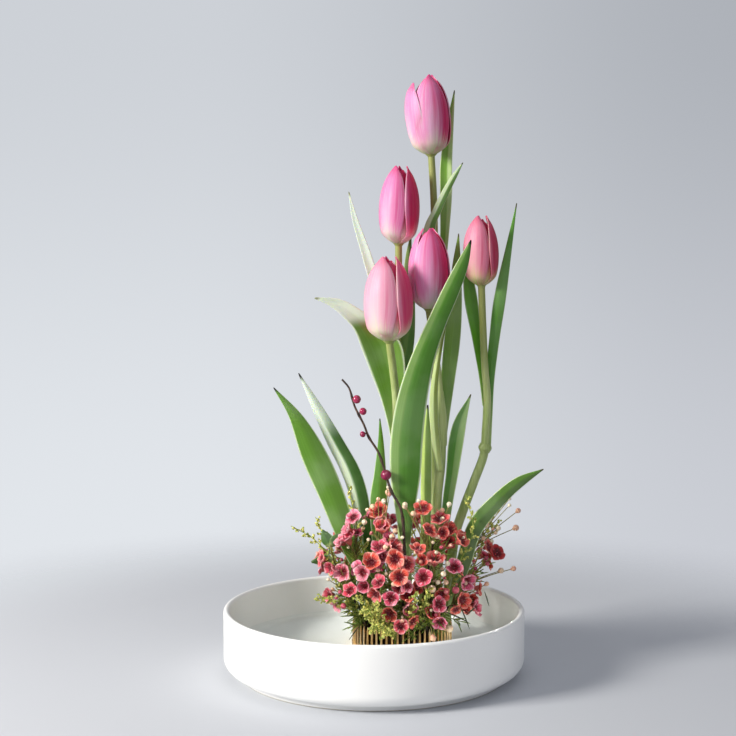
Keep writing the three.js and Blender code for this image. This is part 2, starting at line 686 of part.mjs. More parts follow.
// root: where the twig stands; fork: where it ends; florets and [x, y, z, radius] buds.
const SPRAYS = [
  { root: [-6, 0], fork: [-20, -10, 62], needles: 2,
    florets: [[-38, -7, 85], [-22, -16, 77], [-17, -25, 66], [-32, -6, 58], [-8, -29, 80]], buds: [] },
  { root: [-7, 8], fork: [-14, -4, 96], needles: 2,
    florets: [[-15, -8, 116], [-19, -13, 101]], buds: [[-8, -8, 108, 1.6]] },
  { root: [3, -8], fork: [4, -18, 100], needles: 2,
    florets: [[4, -12, 121], [6, -21, 110], [4, -29, 98]],
    buds: [[10, -12, 135, 2.2], [-1, -14, 125, 2], [13, -27, 106, 2]] },
  { root: [11, -12], fork: [12, -27, 78], needles: 2,
    florets: [[-2, -36, 89], [15, -39, 92], [24, -33, 88], [18, -43, 80], [4, -39, 75]], buds: [] },
  { root: [27, -14], fork: [20, -30, 58], needles: 2,
    florets: [[12, -40, 64], [24, -36, 66], [11, -34, 52], [19, -37, 43]], buds: [] },
  { root: [33, -10], fork: [43, -19, 102], needles: 2,
    florets: [[35, -23, 125], [39, -30, 111], [47, -21, 117], [54, -16, 108], [62, -24, 102]],
    buds: [[22, -25, 127, 2]] },
  { root: [38, -10.5], fork: [44, -26, 72], needles: 2,
    florets: [[31, -38, 99], [35, -41, 79], [43, -35, 90], [57, -31, 84]],
    buds: [[41, -37, 70, 2.9], [51, -34, 74, 2]] },
  { root: [43, -9], fork: [62, -22, 58], needles: 2,
    florets: [[66, -24, 73], [76, -14, 65], [63, -28, 60], [73, -19, 52]], buds: [[82, -8, 67, 1.8]] },
  { root: [53.5, 4.5], fork: [74, 0, 72], needles: 2,
    florets: [[90, 2, 88]], buds: [[93, 0, 75, 2.2], [102, -2, 77, 2]] },
  { root: [51.5, 10], fork: [76, 8, 100], needles: 2,
    florets: [],
    buds: [[90, 4, 124, 2.2], [84, 2, 113, 2.4], [91, 2, 106, 1.9], [104, 4, 106, 2.4], [80, 0, 99, 1.7],
      [106, 8, 118, 2]] },
  { root: [32, -16], fork: [43, -27, 46], needles: 2,
    florets: [[46, -33, 58], [47, -31, 45]], buds: [[54, -28, 39, 2.8], [42, -35, 34, 2.4]] },
  { root: [34, 38], fork: [40, 50, 82], needles: 1,
    florets: [[36, 54, 104], [52, 48, 96], [44, 62, 84], [56, 52, 74]], buds: [[46, 50, 113, 2.2]] },
  { root: [13, 42], fork: [10, 52, 78], needles: 1,
    florets: [[12, 52, 102], [-2, 52, 92], [8, 64, 82], [18, 62, 66]], buds: [[4, 48, 110, 2.2]] },
  { root: [-7, 26], fork: [-22, 38, 70], needles: 1,
    florets: [[-26, 38, 92], [-38, 34, 78], [-16, 50, 72]], buds: [[-38, 30, 92, 2]] },
  { root: [51, 29], fork: [70, 34, 66], needles: 2,
    florets: [[72, 36, 86], [86, 28, 76], [74, 44, 60]], buds: [[88, 32, 90, 2.2]] },
];

/** A spray's twig, florets and buds, each on its own stalk. */
function startSpray({ root, fork, florets, buds }, order) {
  const name = `waxflower_spray_${order + 1}`;
  const random = seeded(500 + order);
  const end = vec(fork);
  const foot = new THREE.Vector3(root[0], root[1], STAND);
  const collar = foot.clone().setZ(33);
  const bend = collar.clone().lerp(end, 0.45);
  bend.z += 5;
  const twig = new THREE.CatmullRomCurve3([foot, collar, bend, end]);
  const pieces = [taperedTube(name, twig, [1.3, 1.1, 0.8], 5, 4)];
  for (const place of florets) {
    const centre = vec(place);
    const facing = centre.clone().sub(vec(CLOUD_CENTRE)).normalize();
    const from = nearestOn(twig, centre.clone().addScaledVector(facing, -FLORET.depth), 0.18);
    pieces.push(floretOnStalk(name, from, centre, facing, random() * 6));
  }
  for (const [x, y, z, radius] of buds) {
    const centre = new THREE.Vector3(x, y, z);
    pieces.push(budOnStalk(name, nearestOn(twig, centre, 0.15), centre, radius));
  }
  return { name, random, twig, pieces };
}

/** Needle leaves set along the twig wherever there is room for them. */
function growNeedles({ name, random, twig, pieces }, wanted) {
  let grown = 0;
  for (let attempt = 0; attempt < 60 && grown < wanted; attempt++) {
    const from = twig.getPointAt(0.35 + 0.6 * random());
    const turn = random() * 2 * Math.PI;
    const way = new THREE.Vector3(Math.cos(turn), Math.sin(turn), 0.2 + 0.9 * random()).normalize();
    const to = from.clone().addScaledVector(way, NEEDLE.length * (0.8 + 0.6 * random()));
    const start = from.clone().addScaledVector(way, 1.5);
    if (!isClear(name, start, to, NEEDLE.radius)) continue;
    pieces.push(needle(name, from, to));
    grown += 1;
  }
}

// ---------------------------------------------------------------- goldenrod and round-leaf sprigs

const SPRIGS = [
  { root: [-10, 4], path: [[-24, 6, 72], [-44, 6, 97], [-61, 6, 107]] },
  { root: [-9, 18], path: [[-20, 17, 60], [-36, 12, 96], [-43, 9, 113]] },
  { root: [0, 2], path: [[-6, 0, 80], [-14, 1, 116], [-19, 2, 139]] },
  { root: [5, -12], path: [[1, -26, 50], [-5, -36, 58], [-13, -41, 66]] },
  { root: [15, -16], path: [[9, -27, 42], [3, -38, 44], [-4, -44, 40]] },
  { root: [48, -6], path: [[60, -15, 80], [71, -17, 108], [66, -14, 134]] },
  { root: [49, 22], path: [[62, 24, 66], [82, 18, 98], [98, 13, 136]] },
  { root: [25, 44], path: [[27, 62, 58], [30, 74, 84], [30, 80, 104]] },
];
const SPRIG = { stem: 0.6, tuft: 2, tufts: 7, bracts: 3, bractLength: 7 };

/** Thin sprig: a stem beaded with tufts of tiny buds over its upper half, and a few bracts. */
function makeSprig({ root, path }, order) {
  const name = `goldenrod_sprig_${order + 1}`;
  const random = seeded(900 + order);
  const stem = route([[root[0], root[1], STAND], [root[0], root[1], 30], ...path]);
  const rings = [];
  const addRing = (share, radius) => {
    const centre = stem.getPointAt(share);
    const [e1, e2] = sideVectors(stem.getTangentAt(share));
    if (rings.length) reserve(name, rings.at(-1).centre, centre, radius);
    rings.push({ centre, radius, e1, e2 });
  };
  for (let k = 0; k <= 4; k++) addRing(k / 10, SPRIG.stem);
  for (let k = 0; k < SPRIG.tufts; k++) {
    const share = 0.45 + (0.53 * k) / SPRIG.tufts;
    addRing(share + 0.03, SPRIG.tuft * (1 - (0.5 * k) / SPRIG.tufts));
    addRing(share + 0.065, SPRIG.stem);
  }
  const pieces = [ringTube(rings, 3)];
  for (let k = 0; k < SPRIG.bracts; k++) {
    const from = stem.getPointAt((k + 2) / 10);
    const turn = k * 2.4 + random();
    const way = new THREE.Vector3(Math.cos(turn), Math.sin(turn), 0.6).normalize();
    const to = from.clone().addScaledVector(way, SPRIG.bractLength);
    if (!isClear(name, from.clone().addScaledVector(way, 1), to, 0.6)) continue;
    pieces.push(needle(name, from, to));
  }
  return fuse(pieces);
}

const ROUND_LEAF_SPRIG = {
  path: [[-11, 10, STAND], [-12, 9, 34], [-22, 5, 62], [-30, 3, 84], [-32, 2, 94]],
  // [x, y, z] of each leaf's far end, which sets its length and slope
  leaves: [[-38, 5, 104], [-22, 2, 103], [-46, 5, 80]],
  halfWidth: 4.2,
};

function makeRoundLeafSprig() {
  const name = 'round_leaf_sprig';
  const stem = route(ROUND_LEAF_SPRIG.path);
  const pieces = [taperedTube(name, stem, [1, 0.8, 0.5], 6, 4)];
  for (const place of ROUND_LEAF_SPRIG.leaves) {
    const tip = vec(place);
    const from = nearestOn(stem, tip, 0.02);
    const way = tip.clone().sub(from);
    const spread = new THREE.Vector3().crossVectors(way, new THREE.Vector3(0, 1, 0.4)).normalize();
    const normal = new THREE.Vector3().crossVectors(spread, way).normalize();
    reserve(name, from, tip, 3);
    pieces.push(shellGeometry(4, 2, LEAF.thickness, (u, s) => {
      const half = 0.5 + ROUND_LEAF_SPRIG.halfWidth * Math.sin(Math.PI * Math.min(0.97, u ** 0.8));
      return { point: from.clone().addScaledVector(way, u).addScaledVector(spread, s * half), normal };
    }));
  }
  return fuse(pieces);
}

// ---------------------------------------------------------------- the whole arrangement

addNode('bowl', makeBowl(), 'glaze');
addNode('water', makeWater(), 'water');
for (const tulip of TULIPS) {
  addNode(`${tulip.name}_leafy_stem`, makeLeafyStem(tulip), 'stem');
  addNode(`${tulip.name}_bloom`, makeBloom(tulip), 'tulip');
}
for (const [name, leaf] of Object.entries(LEAVES)) addNode(name, bladeGeometry(name, leaf), 'leaf');
addNode('berry_twig', makeBerryTwig(), 'bark');
addNode('round_leaf_sprig', makeRoundLeafSprig(), 'roundLeaf');

const sprays = SPRAYS.map(startSpray);
SPRIGS.forEach((sprig, order) => addNode(`goldenrod_sprig_${order + 1}`, makeSprig(sprig, order), 'goldenrod'));
sprays.forEach((spray, order) => {
  growNeedles(spray, SPRAYS[order].needles);
  addNode(spray.name, fuse(spray.pieces), 'waxflower');
});

addNode('kenzan', makeHolder((a, b, radius) => isClear('', a, b, radius + HOLDER.stemClearance)), 'brass');

export default arrangement;
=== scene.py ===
# %% [markdown]
# # An ikebana arrangement of tulips and waxflower
#
# A low white bowl holds still water and, right of its middle, a heavy pin holder (a kenzan). Five
# closed tulips with their leaves rise from the pins, and short waxflower and goldenrod sprays hide
# their feet. The solids of every piece are already there as the fixed frame. This lesson builds the
# finer pieces that stand for them, one kind at a time, and gives each its finish.

# %% Load the fixed frame
import math
import random

import bpy
from mathutils import Matrix, Vector


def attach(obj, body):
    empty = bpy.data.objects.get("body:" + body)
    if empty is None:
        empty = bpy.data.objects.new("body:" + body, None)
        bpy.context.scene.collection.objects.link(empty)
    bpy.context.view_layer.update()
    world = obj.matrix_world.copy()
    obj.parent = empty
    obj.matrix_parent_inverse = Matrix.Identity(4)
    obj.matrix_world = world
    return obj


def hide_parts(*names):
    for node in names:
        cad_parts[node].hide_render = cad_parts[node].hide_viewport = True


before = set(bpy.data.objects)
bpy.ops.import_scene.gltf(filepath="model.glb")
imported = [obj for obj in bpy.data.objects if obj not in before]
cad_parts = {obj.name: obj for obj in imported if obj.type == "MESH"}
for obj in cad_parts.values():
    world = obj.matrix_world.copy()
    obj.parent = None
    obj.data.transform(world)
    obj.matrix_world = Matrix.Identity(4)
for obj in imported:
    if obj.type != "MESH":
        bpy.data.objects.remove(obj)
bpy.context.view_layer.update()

MM = 0.001  # the frame is in metres, and the tables below are in millimetres

# %% [markdown]
# ## Camera
#
# A long lens on a level tripod looks a little down on the bowl, so that its rim shows as a shallow
# ellipse and the stems stay upright. The camera comes first, because every piece is judged in it.

# %% Camera
CAMERA_PLACE = Vector((-4.36, -1130.84, 325.27)) * MM
CAMERA_PITCH = math.radians(5.12)  # below level
LENS_MM = 76.74

bpy.ops.object.camera_add(location=CAMERA_PLACE, rotation=(math.pi / 2 - CAMERA_PITCH, 0, 0))
camera = bpy.context.object
camera.data.lens = LENS_MM
bpy.context.scene.camera = camera
print("camera:", LENS_MM, "mm lens,", round(-CAMERA_PLACE.y, 3), "m in front")

# %% [markdown]
# ## Small tools for materials
#
# Each finish is a Principled shader with a few nodes before it. These helpers add a node, fill its
# inputs and hand back an output, so a finish reads like a recipe. Colours are written as they look on
# a screen and turned into the linear values that a shader wants.

# %% Material helpers
def ink(code):
    """Linear colour of a screen colour such as "e07aa8"."""
    parts = [int(code[i:i + 2], 16) / 255 for i in (0, 2, 4)]
    return (*(p / 12.92 if p < 0.04 else ((p + 0.055) / 1.055) ** 2.4 for p in parts), 1)


def fill(tree, node, values):
    for socket, value in values.items():
        if isinstance(value, bpy.types.NodeSocket):
            tree.links.new(value, node.inputs[socket])
        else:
            node.inputs[socket].default_value = value


class Recipe:
    """Short names for the nodes of one tree."""

    def __init__(self, tree):
        self.tree = tree

    def node(self, kind, values, **settings):
        made = self.tree.nodes.new("ShaderNode" + kind)
        for key, value in settings.items():
            setattr(made, key, value)
        fill(self.tree, made, values)
        return made

    def place(self, kind="Object", scale=(1, 1, 1)):
        """Object or UV coordinates, stretched."""
        start = self.node("TexCoord", {}).outputs[kind]
        return self.node("Mapping", {"Vector": start, "Scale": scale}).outputs["Vector"]

    def noise(self, vector, scale, detail=3.0):
        return self.node("TexNoise", {"Vector": vector, "Scale": scale, "Detail": detail}).outputs["Fac"]

    def times(self, a, b):
        return self.calc("MULTIPLY", a, b)

    def calc(self, operation, a, b):
        """One step of arithmetic."""
        return self.node("Math", {0: a, 1: b}, operation=operation).outputs[0]

    def swing(self, noise, reach):
        """The noise, which swings about a half, turned to swing about 0."""
        return self.times(self.calc("SUBTRACT", noise, 0.5), reach)

    def ease(self, value, low, high, to_low=0.0, to_high=1.0):
        """Smooth step from to_low to to_high while the value goes from low to high."""
        values = {"Value": value, 1: low, 2: high, 3: to_low, 4: to_high}
        return self.node("MapRange", values, interpolation_type="SMOOTHSTEP").outputs[0]

    def ramp(self, share, stops):
        """A colour from stops of (position, code)."""
        made = self.node("ValToRGB", {"Fac": share})
        spots = made.color_ramp.elements
        while len(spots) < len(stops):
            spots.new(0.5)
        for spot, (position, code) in zip(spots, stops):
            spot.position = position
            spot.color = ink(code)
        return made.outputs["Color"]

    def mix(self, share, *colours):
        """The first colour at share 0, and the second at 1. Each is a code or a socket."""
        made = self.node("Mix", {0: share}, data_type="RGBA")
        first, second = (ink(c) if isinstance(c, str) else c for c in colours)
        fill(self.tree, made, {6: first, 7: second})
        return made.outputs[2]

    def along(self):
        """(across, length): where a point is on its own leaf, 0 to 1 both ways."""
        split = self.node("SeparateXYZ", {"Vector": self.place("UV")})
        return split.outputs["X"], split.outputs["Y"]

    def edge(self, across):
        """0 on the middle line and 1 at both edges."""
        return self.times(self.calc("ABSOLUTE", self.calc("SUBTRACT", across, 0.5), 0.0), 2.0)

    def attribute(self, name):
        return self.node("Attribute", {}, attribute_name=name).outputs["Fac"]


class Finish(Recipe):
    """A material with a Principled shader, and the nodes that feed it."""

    def __init__(self, name, **sockets):
        self.material = bpy.data.materials.new(name)
        self.material.use_nodes = True
        super().__init__(self.material.node_tree)
        self.shader = self.tree.nodes["Principled BSDF"]
        self.set(**sockets)

    def set(self, **sockets):
        fill(self.tree, self.shader, {k.replace("_", " "): v for k, v in sockets.items()})

    def bump(self, height, strength, distance):
        values = {"Height": height, "Strength": strength, "Distance": distance}
        self.set(Normal=self.node("Bump", values).outputs["Normal"])


print("material helpers ready")

# %% [markdown]
# ## Floor and light
#
# The stage is a plain pale floor. It fades out into the pale surroundings a little way behind the
# bowl, which gives the soft seamless sweep of a studio. A large soft lamp stands at the left and a
# little in front, so the bowl and the blooms turn from light to shade. A weak one in front and one
# overhead soften that, a narrow beam lifts the floor of the bowl, and the surroundings fill the
# shadows.

# %% Floor
FLOOR_RADIUS = 2.2
FADE = (0.27, 0.58)  # distances over which the floor turns into the surroundings

bpy.ops.mesh.primitive_circle_add(vertices=96, radius=FLOOR_RADIUS, fill_type="NGON")
floor = bpy.context.object
floor.name = "studio_floor"
paper = Finish("floor_paper", Roughness=0.85, Specular_IOR_Level=0.2)
spot = paper.place()
grain = paper.noise(spot, 900.0)
paper.set(Base_Color=paper.mix(paper.times(grain, 0.25), "cdd0d5", "c1c4ca"))
distance = paper.node("VectorMath", {0: spot}, operation="LENGTH").outputs["Value"]
paper.set(Alpha=paper.ease(distance, *FADE, 1.0, 0.0))
floor.data.materials.append(paper.material)
print("floor radius", FLOOR_RADIUS, "m")

# %% Lamps
LAMPS = {  # name: place, aimed at, size, watts, colour
    "key_lamp": ((-1.42, -0.70, 0.82), (0.02, 0.0, 0.14), 0.5, 38.5, "fffbf5"),
    "front_fill": ((0.7, -1.7, 0.5), (0.0, 0.0, 0.12), 1.2, 2.5, "f2f5ff"),
    "top_lamp": ((0.0, 0.1, 1.7), (0.0, 0.0, 0.2), 1.0, 2.5, "f8faff"),
    "bowl_lamp": ((0.22, -0.65, 1.1), (0.0, 0.0, 0.03), 0.12, 0.02, "fffdf8"),
}
BEAM = {"bowl_lamp": math.radians(5)}  # every other lamp shines all round
for name, (place, aim, size, watts, colour) in LAMPS.items():
    turn = (Vector(aim) - Vector(place)).to_track_quat("-Z", "Y").to_euler()
    bpy.ops.object.light_add(type="AREA", location=place, rotation=turn)
    lamp = bpy.context.object
    lamp.name = name
    lamp.data.size = size
    lamp.data.energy = watts
    lamp.data.color = ink(colour)[:3]
    lamp.data.spread = BEAM.get(name, math.pi)
    lamp.visible_camera = False
print("lamps:", ", ".join(LAMPS))

# %% Surroundings
SURROUND_LIGHT = 0.36
# Painted light falloff: the backdrop that the camera sees is painted lighter on the left, towards the
# key lamp, and darker on the right. It is also lighter low down than high up.
SKY_HEIGHTS = (0.14, -0.2)  # view directions between which the backdrop's tone changes
PAINTED_FALLOFF_SIDES = (-0.12, 0.24)
BACKDROP_WITH_PAINTED_FALLOFF = {"left": ("cdd1d7", "e2e6eb"), "right": ("aeb2b9", "cacdd4")}  # high up, and low down

world = bpy.data.worlds.new("studio")
bpy.context.scene.world = world
world.use_nodes = True
sky = Recipe(world.node_tree)
way = sky.node("SeparateXYZ", {"Vector": sky.node("TexCoord", {}).outputs["Generated"]}).outputs
low = sky.ease(way["Z"], *SKY_HEIGHTS)
left, right = [sky.mix(low, high, deep) for high, deep in BACKDROP_WITH_PAINTED_FALLOFF.values()]
painted_falloff_colour = sky.mix(sky.ease(way["X"], *PAINTED_FALLOFF_SIDES), left, right)
backdrop = sky.node("Background", {"Color": painted_falloff_colour})
ambient = sky.node("Background", {"Color": ink("eef1fa"), "Strength": SURROUND_LIGHT})
seen = sky.node("LightPath", {}).outputs["Is Camera Ray"]
both = sky.node("MixShader", {0: seen, 1: ambient.outputs[0], 2: backdrop.outputs[0]})
sky.tree.links.new(both.outputs[0], sky.tree.nodes["World Output"].inputs["Surface"])
bpy.context.scene.view_settings.view_transform = "Standard"
print("surroundings:", BACKDROP_WITH_PAINTED_FALLOFF)

# %% [markdown]
# ## Small tools for shapes
#
# Plants are long thin things, so most of the work is laying a plain primitive along a smooth line: a
# grid becomes a leaf, a round-bevelled curve becomes a stem. What repeats is modelled once, and each
# copy gets its own mesh, moved to its place.

# %% Selecting, joining and finishing
def only(ob):
    """Select one object and nothing else."""
    bpy.ops.object.select_all(action="DESELECT")
    ob.select_set(True)
    bpy.context.view_layer.objects.active = ob


def modify(ob, kind, **settings):
    """Add a modifier and apply it."""
    only(ob)
    added = ob.modifiers.new(kind.lower(), kind)
    for key, value in settings.items():
        setattr(added, key, value)
    bpy.ops.object.modifier_apply(modifier=added.name)


def shape(ob, rule):
    """Move every vertex to the place that the rule gives for its old one."""
    for vertex in ob.data.vertices:
        vertex.co = rule(vertex.co.copy())
    ob.data.update()


def smooth(ob, angle=180):
    only(ob)
    bpy.ops.object.shade_smooth_by_angle(angle=math.radians(angle))


def sheet(name, columns, rows, rule, thickness, *materials, rounded=True):
    """A leaf or petal: a grid laid out by a rule, then given its thickness and rounded.

    rule(s, u) gives the place in millimetres, with s from -1 to 1 across and u from 0 to 1 along.
    A second material goes on the back.
    """
    bpy.ops.mesh.primitive_grid_add(x_subdivisions=columns, y_subdivisions=rows, size=2)
    ob = bpy.context.object
    ob.name = name
    shape(ob, lambda co: rule(co.x, (co.y + 1) / 2) * MM)
    for material in materials:
        ob.data.materials.append(material)
    modify(ob, "SOLIDIFY", thickness=thickness * MM, offset=0, use_even_offset=False,
           material_offset=len(materials) - 1)
    if rounded:
        modify(ob, "SUBSURF", levels=1, render_levels=1)
    smooth(ob)
    return ob


def tag(ob, **values):
    """Write one number per name on all points, for a material to read."""
    for name, value in values.items():
        layer = ob.data.attributes.get(name) or ob.data.attributes.new(name, "FLOAT", "POINT")
        layer.data.foreach_set("value", [value] * len(layer.data))


def copy_to(model, matrix, **values):
    """A copy of the model with its own mesh, moved by the matrix."""
    twin = model.copy()
    twin.data = model.data.copy()
    twin.data.transform(matrix)
    bpy.context.collection.objects.link(twin)
    tag(twin, **values)
    return twin


def join(name, parts):
    bpy.ops.object.select_all(action="DESELECT")
    for part in parts:
        part.select_set(True)
    bpy.context.view_layer.objects.active = parts[0]
    if len(parts) > 1:
        bpy.ops.object.join()
    piece = bpy.context.view_layer.objects.active
    piece.name = name
    piece.data.name = name
    return piece


def put_away(model):
    """Remove a model that has been copied."""
    bpy.data.objects.remove(model)


def hand_over(piece, slot, *nodes):
    """The finished piece rides on the body, and stands for its solids."""
    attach(piece, "root")
    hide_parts(*nodes)
    corners = len(piece.data.vertices)
    print(f"{piece.name}: {corners} vertices, stands for {', '.join(nodes)}")


print("tools for one object ready")

# %% Smooth lines
LINE_STEPS = 200  # pieces in which the length of a line is measured
FORK_STEPS = 40  # places that are tried for the root of a stalk
LOWEST_FORK = 0.25  # no stalk leaves its twig below this share of the twig's length


def catmull(p0, p1, p2, p3, t):
    """A point between p1 and p2 on the centripetal Catmull-Rom curve."""
    d1 = max((p2 - p1).length, 1e-6) ** 0.5
    d0 = (p1 - p0).length ** 0.5 or d1
    d2 = (p3 - p2).length ** 0.5 or d1
    m1 = ((p1 - p0) / d0 - (p2 - p0) / (d0 + d1) + (p2 - p1) / d1) * d1
    m2 = ((p2 - p1) / d1 - (p3 - p1) / (d1 + d2) + (p3 - p2) / d2) * d1
    return p1 + m1 * t + (3 * (p2 - p1) - 2 * m1 - m2) * t ** 2 + (2 * (p1 - p2) + m1 + m2) * t ** 3


class Line:
    """Smooth line through points in millimetres."""

    def __init__(self, points):
        self.points = [Vector(p) for p in points]
        tries = [self.at(i / LINE_STEPS) for i in range(LINE_STEPS + 1)]
        self.lengths = [0.0]
        for a, b in zip(tries, tries[1:]):
            self.lengths.append(self.lengths[-1] + (b - a).length)

    def at(self, t):
        """The point at share t of the control points."""
        p = self.points
        last = len(p) - 1
        i = min(int(t * last), last - 1)
        before = p[i - 1] if i > 0 else 2 * p[0] - p[1]
        after = p[i + 2] if i + 2 <= last else 2 * p[last] - p[last - 1]
        return catmull(before, p[i], p[i + 1], after, t * last - i)

    def even(self, share):
        """The point at that share of the line's length."""
        goal = share * self.lengths[-1]
        i = next((k for k, length in enumerate(self.lengths) if length >= goal), LINE_STEPS)
        if i == 0:
            return self.at(0)
        step = self.lengths[i] - self.lengths[i - 1]
        return self.at((i - 1 + (goal - self.lengths[i - 1]) / step) / LINE_STEPS)

    def way(self, share):
        """Direction of growth there."""
        return (self.even(min(share + 0.01, 1)) - self.even(max(share - 0.01, 0))).normalized()

    def nearest(self, place, drop):
        """The line's point nearest to a place, moved down the line by a share of its length."""
        best = min(range(FORK_STEPS + 1), key=lambda i: (self.even(i / FORK_STEPS) - place).length)
        return self.even(max(best / FORK_STEPS - drop, LOWEST_FORK))


def between(values, u):
    """Smooth value at u in 0..1 through evenly spaced values."""
    last = len(values) - 1
    x = min(max(u, 0), 1) * last
    i = min(int(x), last - 1)
    f = x - i
    p1, p2 = values[i], values[i + 1]
    p0, p3 = values[max(i - 1, 0)], values[min(i + 2, last)]
    curved = 2 * p0 - 5 * p1 + 4 * p2 - p3 + f * (3 * (p1 - p2) + p3 - p0)
    return p1 + 0.5 * f * (p2 - p0 + f * curved)


def sides_of(axis):
    """Two unit vectors that complete a right-handed set with the axis."""
    guide = Vector((0, 1, 0)) if abs(axis.z) > 0.9 else Vector((0, 0, 1))
    e1 = guide.cross(axis).normalized()
    return e1, axis.cross(e1)


def stand(axis, place, turn=0.0, size=1.0):
    """Matrix that sets a model, built upright at the origin, on a place in millimetres."""
    e1, e2 = sides_of(axis)
    frame_of_axis = Matrix((e1, e2, axis)).transposed().to_4x4()
    grown = Matrix.Rotation(turn, 4, "Z") @ Matrix.Scale(size, 4)
    return Matrix.Translation(place * MM) @ frame_of_axis @ grown


print("a line is measured in", LINE_STEPS, "steps")

# %% Tubes
def tubes(name, runs, roundness, material):
    """One mesh of round tubes. Each run is a list of (point, radius) in millimetres."""
    bpy.ops.curve.primitive_bezier_curve_add()
    ob = bpy.context.object
    ob.name = name
    curve = ob.data
    curve.splines.clear()
    for run in runs:
        spline = curve.splines.new("POLY")
        spline.points.add(len(run) - 1)
        for point, (place, radius) in zip(spline.points, run):
            point.co = (*(place * MM), 1)
            point.radius = radius
    curve.bevel_depth = MM
    curve.bevel_resolution = roundness
    curve.use_fill_caps = True
    only(ob)
    bpy.ops.object.convert(target="MESH")
    ob = bpy.context.object
    ob.data.materials.clear()
    ob.data.materials.append(material)
    smooth(ob, 60)
    return ob


def run_along(line, radii, steps, start=0.0, end=1.0):
    """Points and radii along a stretch of a line."""
    shares = [start + (end - start) * i / steps for i in range(steps + 1)]
    return [(line.even(share), between(radii, i / steps)) for i, share in enumerate(shares)]


print("shape helpers ready")

# %% [markdown]
# ## The bowl
#
# The real bowl was thrown and turned: a low straight wall on a slightly narrower foot, with a rounded
# rim and a white satin glaze that stops at the foot ring. A round filled face grows into it here, ring
# by ring, by extrude and resize, the way a potter raises a wall. The rounded edges are arcs of such
# rings, so the light rolls over them.

# %% Bowl: outline
BOWL = {"radius": 110, "height": 48.6, "wall": 4.3, "floor": 10, "foot": 98.2, "foot_height": 4.6,
        "corner": 9, "inner_corner": 8}
FOOT_RING = {"inside": 89, "recess": 1.4, "edge": 0.8}  # the recess under the bowl
BOWL_SIDES = 160


def arc(centre, radius, start, end, steps):
    """Points of (radius, height) round a centre, from one angle to another in degrees."""
    turns = [math.radians(start + (end - start) * i / steps) for i in range(steps + 1)]
    return [(centre[0] + radius * math.cos(t), centre[1] + radius * math.sin(t)) for t in turns]


def bowl_outline():
    """(radius, height) from under the foot, up the outside, over the rim and down to the floor."""
    b, ring, lip = BOWL, FOOT_RING, BOWL["wall"] / 2
    outside = b["radius"] - b["corner"]
    inside = b["radius"] - b["wall"] - b["inner_corner"]
    return [
        (ring["inside"] - 1, ring["recess"]), (ring["inside"], ring["edge"]),
        (ring["inside"] + 1, 0), (b["foot"] - ring["edge"], 0), (b["foot"], ring["edge"]),
        (b["foot"], b["foot_height"] - 0.3), (b["foot"] + 0.3, b["foot_height"]),
        *arc((outside, b["foot_height"] + b["corner"]), b["corner"], -90, 0, 10),
        *arc((b["radius"] - lip, b["height"] - lip), lip, 0, 180, 12),
        *arc((inside, b["floor"] + b["inner_corner"]), b["inner_corner"], 0, -90, 10),
        (inside - 20, b["floor"]), (30, b["floor"]),  # two rings on the flat floor
    ]


def turned_form(name, outline, sides):
    """Closed round form: a filled circle under it is extruded and resized along the outline."""
    radius, height = outline[0]
    bpy.ops.mesh.primitive_circle_add(vertices=sides, radius=radius * MM, fill_type="NGON",
                                      location=(0, 0, height * MM))
    ob = bpy.context.object
    ob.name = name
    bpy.ops.object.transform_apply(location=True)
    bpy.ops.object.mode_set(mode="EDIT")
    bpy.ops.mesh.select_all(action="SELECT")
    bpy.ops.mesh.flip_normals()
    bpy.ops.mesh.select_mode(type="EDGE")
    bpy.ops.mesh.select_all(action="SELECT")
    for new_radius, new_height in outline[1:]:
        rise = (0, 0, (new_height - height) * MM)
        bpy.ops.mesh.extrude_edges_move(TRANSFORM_OT_translate={"value": rise})
        share = new_radius / radius
        bpy.ops.transform.resize(value=(share, share, 1), center_override=(0, 0, 0))
        radius, height = new_radius, new_height
    bpy.ops.mesh.edge_face_add()
    bpy.ops.mesh.select_all(action="SELECT")
    bpy.ops.mesh.remove_doubles(threshold=1e-6)
    bpy.ops.mesh.normals_make_consistent(inside=False)
    bpy.ops.object.mode_set(mode="OBJECT")
    return ob


FIRM_EDGE = 50  # an edge sharper than this many degrees stays crisp
bowl = turned_form("glazed_bowl", bowl_outline(), BOWL_SIDES)
smooth(bowl, FIRM_EDGE)
print("bowl:", len(bowl.data.polygons), "faces")

# %% [markdown]
# ## Satin glaze and bare foot
#
# The glaze is a warm white, a little uneven in its gloss, with a faint waviness that only shows in
# the reflection of the lamp. The foot ring stands on the table and is left bare: matte pale stoneware
# with fine dark specks. The bare ring is a material of its own on the faces that lie low.

# %% Glaze and stoneware
glaze = Finish("satin_glaze", Coat_Weight=0.25, Coat_Roughness=0.22, IOR=1.5)
spot = glaze.place()
cloud = glaze.noise(spot, 14.0)
glaze.set(Base_Color=glaze.ramp(cloud, [(0.3, "f8f8f5"), (0.7, "fcfcfa")]))
glaze.set(Roughness=glaze.ease(cloud, 0.3, 0.7, 0.34, 0.44))
glaze.bump(glaze.noise(spot, 55.0, 2.0), 0.12, 0.0006)

stoneware = Finish("bare_foot", Roughness=0.85)
spot = stoneware.place()
speck = stoneware.ramp(stoneware.noise(spot, 1400.0, 2.0), [(0.3, "8d857a"), (0.42, "d6d0c4")])
stoneware.set(Base_Color=speck)
stoneware.bump(stoneware.noise(spot, 900.0), 0.4, 0.0002)

BARE_MARGIN = 0.9  # how far the bare clay goes on inside the foot ring
bowl.data.materials.append(glaze.material)
bowl.data.materials.append(stoneware.material)
for face in bowl.data.polygons:
    away = face.center.xy.length / MM
    low = face.center.z < FOOT_RING["edge"] * MM
    if low and away > FOOT_RING["inside"] - BARE_MARGIN:
        face.material_index = 1
hand_over(bowl, "glaze", "bowl")

